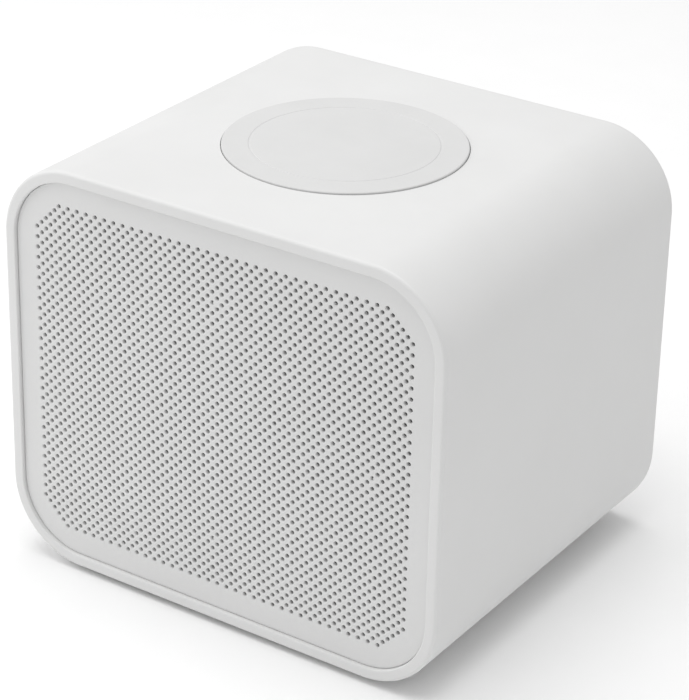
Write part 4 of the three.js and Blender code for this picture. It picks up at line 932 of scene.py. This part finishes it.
for node in ("driver_lead", "coil_lead", "control_lead"):
    dress(node, lead_sleeve)
dress("control_board", board_green)

# Rear cover
# A white ABS plate over a foam ring, with a sunk panel for the buttons, openings for the two sockets
# and a pocket for each of its four screws. Two stakes inside hold the control board.
COVER_FRONT, COVER_BACK = 51, 54
PANEL_Z = 79
BUTTON_PLACES = (30, 10, -10, -30)
STAKE_PLACES = (-39, 39)
CUT_START, CUT_END = COVER_FRONT - 1, COVER_BACK + 1
INLET_PLACE, AUDIO_PLACE = (-12, 13.35), (12, 14.9)
cover_edge = [(0, COVER_FRONT), (0, COVER_BACK - 0.35), (0.1, COVER_BACK - 0.1), (0.35, COVER_BACK)]
cover = make_piece("rear_plate", swept(rounded_rectangle(123.4, 104.4, 17.7, 24), cover_edge))
panel_outline = rounded_rectangle(84, 18, 8, 12, (0, PANEL_Z))
inlet_outline = rounded_rectangle(9.6, 3.9, 1.95, 10, INLET_PLACE)


def round_cutter(radius, start, end, place, steps=48):
    """A plain round bar along Y that cuts a hole."""
    return turned([(0, start), (radius, start), (radius, end), (0, end)], steps, (place[0], 0, place[1]))


carve(
    cover,
    swept(panel_outline, [(0, COVER_BACK - 1.2), (0, CUT_END)]),
    *[round_cutter(5.2, CUT_START, CUT_END, (x, PANEL_Z), 72) for x in BUTTON_PLACES],
    *[round_cutter(1.5, CUT_START, CUT_END, place) for place in COLUMN_PLACES],
    *[round_cutter(2.6, COVER_BACK - 1.5, CUT_END, place) for place in COLUMN_PLACES],
    swept(inlet_outline, [(0, CUT_START), (0, CUT_END)]),
    round_cutter(3.5, CUT_START, CUT_END, AUDIO_PLACE, 64),
)
shade(cover, soften=0.18)
cover_white = moulded(
    "cover_white", ((0.716, 0.716, 0.712), (0.740, 0.740, 0.737)), (0.46, 0.56), 0.32, 0.012, patch=35
)
fit(cover, "cabinet", "cover", [cover_white], "rear_cover")
stakes = make_piece(
    "rear_plate_stakes", *[tube(1.5, 0, 39.8, 51.5, 0, 0, (x, 0, PANEL_Z), "y") for x in STAKE_PLACES]
)
shade(stakes, soften=0.2)
stakes.data.materials.append(cover_white)
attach(stakes, "cabinet")
gasket_edge = eased([(0.1, 50.0), (3.5, 50.0), (3.5, 50.9), (0.1, 50.9)], 0.2)
gasket = make_piece(
    "rear_foam_ring", swept(rounded_rectangle(122.8, 103.8, 17.4, 24), gasket_edge, closed=True)
)
carve(gasket, *[round_cutter(1.5, 49, 52, place) for place in COLUMN_PLACES])
shade(gasket)
fit(gasket, "cabinet", "foam", [foam_black], "rear_gasket")
for number in range(1, 5):
    screw(f"cover_fixing_{number}", f"cover_screw_{number}", "-y")

# Buttons
# Four round keys of grey-white rubber over hard plastic, each pressed out by its switch. A thin print
# on the dished face gives its use: power, quieter, play and louder.
MARK_FRONT, MARK_BACK = 53.3, 53.62


def prism(outline, front=MARK_FRONT, back=MARK_BACK):
    """A flat mark: its outline of [x, z] places, with a front and a back face."""
    outline = np.asarray(outline, float)
    count = len(outline)
    ends = [np.stack([outline[:, 0], np.full(count, y), outline[:, 1]], axis=1) for y in (front, back)]
    here, beside = np.arange(count), (np.arange(count) + 1) % count
    sides = np.stack([here, beside, beside + count, here + count], axis=-1)
    return np.concatenate(ends), [sides, here[None, ::-1], here[None] + count]


def bar_mark(width, height, middle=(0, 0)):
    """A bar with rounded ends."""
    return rounded_rectangle(width, height, min(width, height) / 2.001, 4, middle)[0]


def arc_mark(radius, width, start, end):
    """A part ring between two angles in degrees: the outer arc out and the inner arc back."""
    turn = np.radians(np.linspace(start, end, 33))
    line = np.stack([np.cos(turn), np.sin(turn)], axis=1)
    return np.concatenate([(radius + width / 2) * line, (radius - width / 2) * line[::-1]])


plus = np.array([(1, 0.25), (0.25, 0.25), (0.25, 1), (-0.25, 1), (-0.25, 0.25), (-1, 0.25)])
marks = {
    "power_button": [arc_mark(1.7, 0.4, 125, 415), bar_mark(0.4, 2.0, (0, 1.5))],
    "volume_down_button": [bar_mark(3.2, 0.5)],
    "play_button": [[(-1.1, -1.6), (1.8, 0), (-1.1, 1.6)]],
    "volume_up_button": [1.6 * np.concatenate([plus, -plus])],
}
button_profile = eased_to_axis(
    [
        (0.001, 46.9), (1.6, 46.9), (1.6, 49.9), (6, 49.9), (6, 50.9), (5, 50.9), (5, 53.6), (4.3, 53.6),
        (2.5, 53.48), (0.001, 53.45),
    ],
    [0, 0.2, 0.3, 0.1, 0.2, 0.1, 0.4, 0.3, 0.5, 0],
)
button_skin = moulded(
    "button_skin", ((0.60, 0.60, 0.60), (0.65, 0.65, 0.65)), (0.6, 0.72), 0.25, 0.012, patch=6
)
mark_ink = moulded("mark_ink", ((0.10, 0.10, 0.105), (0.14, 0.14, 0.145)), (0.5, 0.62), 0.2, 0.004, patch=2)
for x, (button, shapes) in zip(BUTTON_PLACES, marks.items()):
    mirrored = [np.asarray(shape) * (-1, 1) + (x, PANEL_Z) for shape in shapes]
    key = make_piece(
        button + "_key", turned(button_profile, 72, (x, 0, PANEL_Z)), *map(prism, mirrored),
        paints=[0] + [1] * len(shapes),
    )
    shade(key)
    fit(key, button, "button_rubber", [button_skin, mark_ink], button)

# Sockets
# The power inlet is a deep-drawn tinned shell with a contact tongue, and the audio socket a moulded
# block with a nose and a plated ring. Both are soldered to the rear edge of the main board.
inlet_shell = rounded_rectangle(9, 3.3, 1.65, 10, INLET_PLACE)
tongue_x, tongue_z = INLET_PLACE
TONGUE_HALF, CONTACT_PITCH = 0.33, 0.5
contacts = [
    block((x - 0.13, 48.5, z - 0.05), (x + 0.13, 51.9, z + 0.05), 0.03)
    for x in tongue_x + CONTACT_PITCH * (np.arange(12) - 5.5)
    for z in (tongue_z - TONGUE_HALF, tongue_z + TONGUE_HALF)
]
inlet_profile = [(0.3, 44.5), (0, 44.8), (0, 53.35), (0.1, 53.5), (0.3, 53.5), (0.35, 53.4), (0.35, 46.0)]
inlet = make_piece(
    "power_inlet_socket",
    swept(inlet_shell, inlet_profile),
    block(
        (tongue_x - 3.3, 45.5, tongue_z - TONGUE_HALF), (tongue_x + 3.3, 52.5, tongue_z + TONGUE_HALF), 0.12
    ),
    *contacts,
    paints=[0, 1] + [2] * len(contacts),
)
shade(inlet)
gilt = moulded(
    "gilt_contact", ((0.72, 0.50, 0.20), (0.83, 0.61, 0.30)), (0.2, 0.32), 0.3, 0.003, patch=1, metallic=1.0
)
fit(inlet, "cabinet", "bright_steel", [tinned_steel, baffle_black, gilt], "power_inlet")
audio = make_piece("audio_socket_block", block((8.8, 40.5, BOARD_TOP), (15.2, 50.5, 18.1), 0.3))
carve(audio, round_cutter(1.8, 41.7, 52, AUDIO_PLACE))
nose_profile = eased([(1.8, 50.3), (3.2, 50.3), (3.2, 53.5), (1.8, 53.5)], [0.05, 0.05, 0.3, 0.25])
ring_profile = eased([(1.74, 51.0), (1.95, 51.0), (1.95, 53.1), (1.74, 53.1)], 0.04)
nose = make_piece(
    "audio_socket_nose",
    *[turned(profile, 72, (AUDIO_PLACE[0], 0, AUDIO_PLACE[1])) for profile in (nose_profile, ring_profile)],
    paints=[0, 1],
)
shade(audio)
shade(nose)
fit(audio, "cabinet", "socket_plastic", [baffle_black], "audio_socket")
nose.data.materials.append(baffle_black)
nose.data.materials.append(tinned_steel)
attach(nose, "cabinet")

# Feet
# Four round rubber feet pressed into shallow pockets in the base, each with a moulded ring that grips.
foot_profile = eased_to_axis(
    [(0.001, 0.25), (2.6, 0.25), (2.9, 0), (4.9, 0), (6, 0.5), (6, 2.4), (0.001, 2.4)],
    [0, 0.1, 0.1, 0.5, 0.4, 0.1, 0],
)
foot_rubber = moulded(
    "foot_rubber", ((0.10, 0.10, 0.104), (0.135, 0.135, 0.14)), (0.75, 0.88), 0.4, 0.02, patch=4
)
for number in range(1, 5):
    low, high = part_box(f"foot_{number}")
    middle = [(low[k] + high[k]) * 500 for k in range(2)]
    foot = make_piece(f"rubber_foot_{number}", turned(foot_profile, 64, (*middle, 0), "z"))
    shade(foot)
    fit(foot, "cabinet", "foot_rubber", [foot_rubber], f"foot_{number}")

low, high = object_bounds()
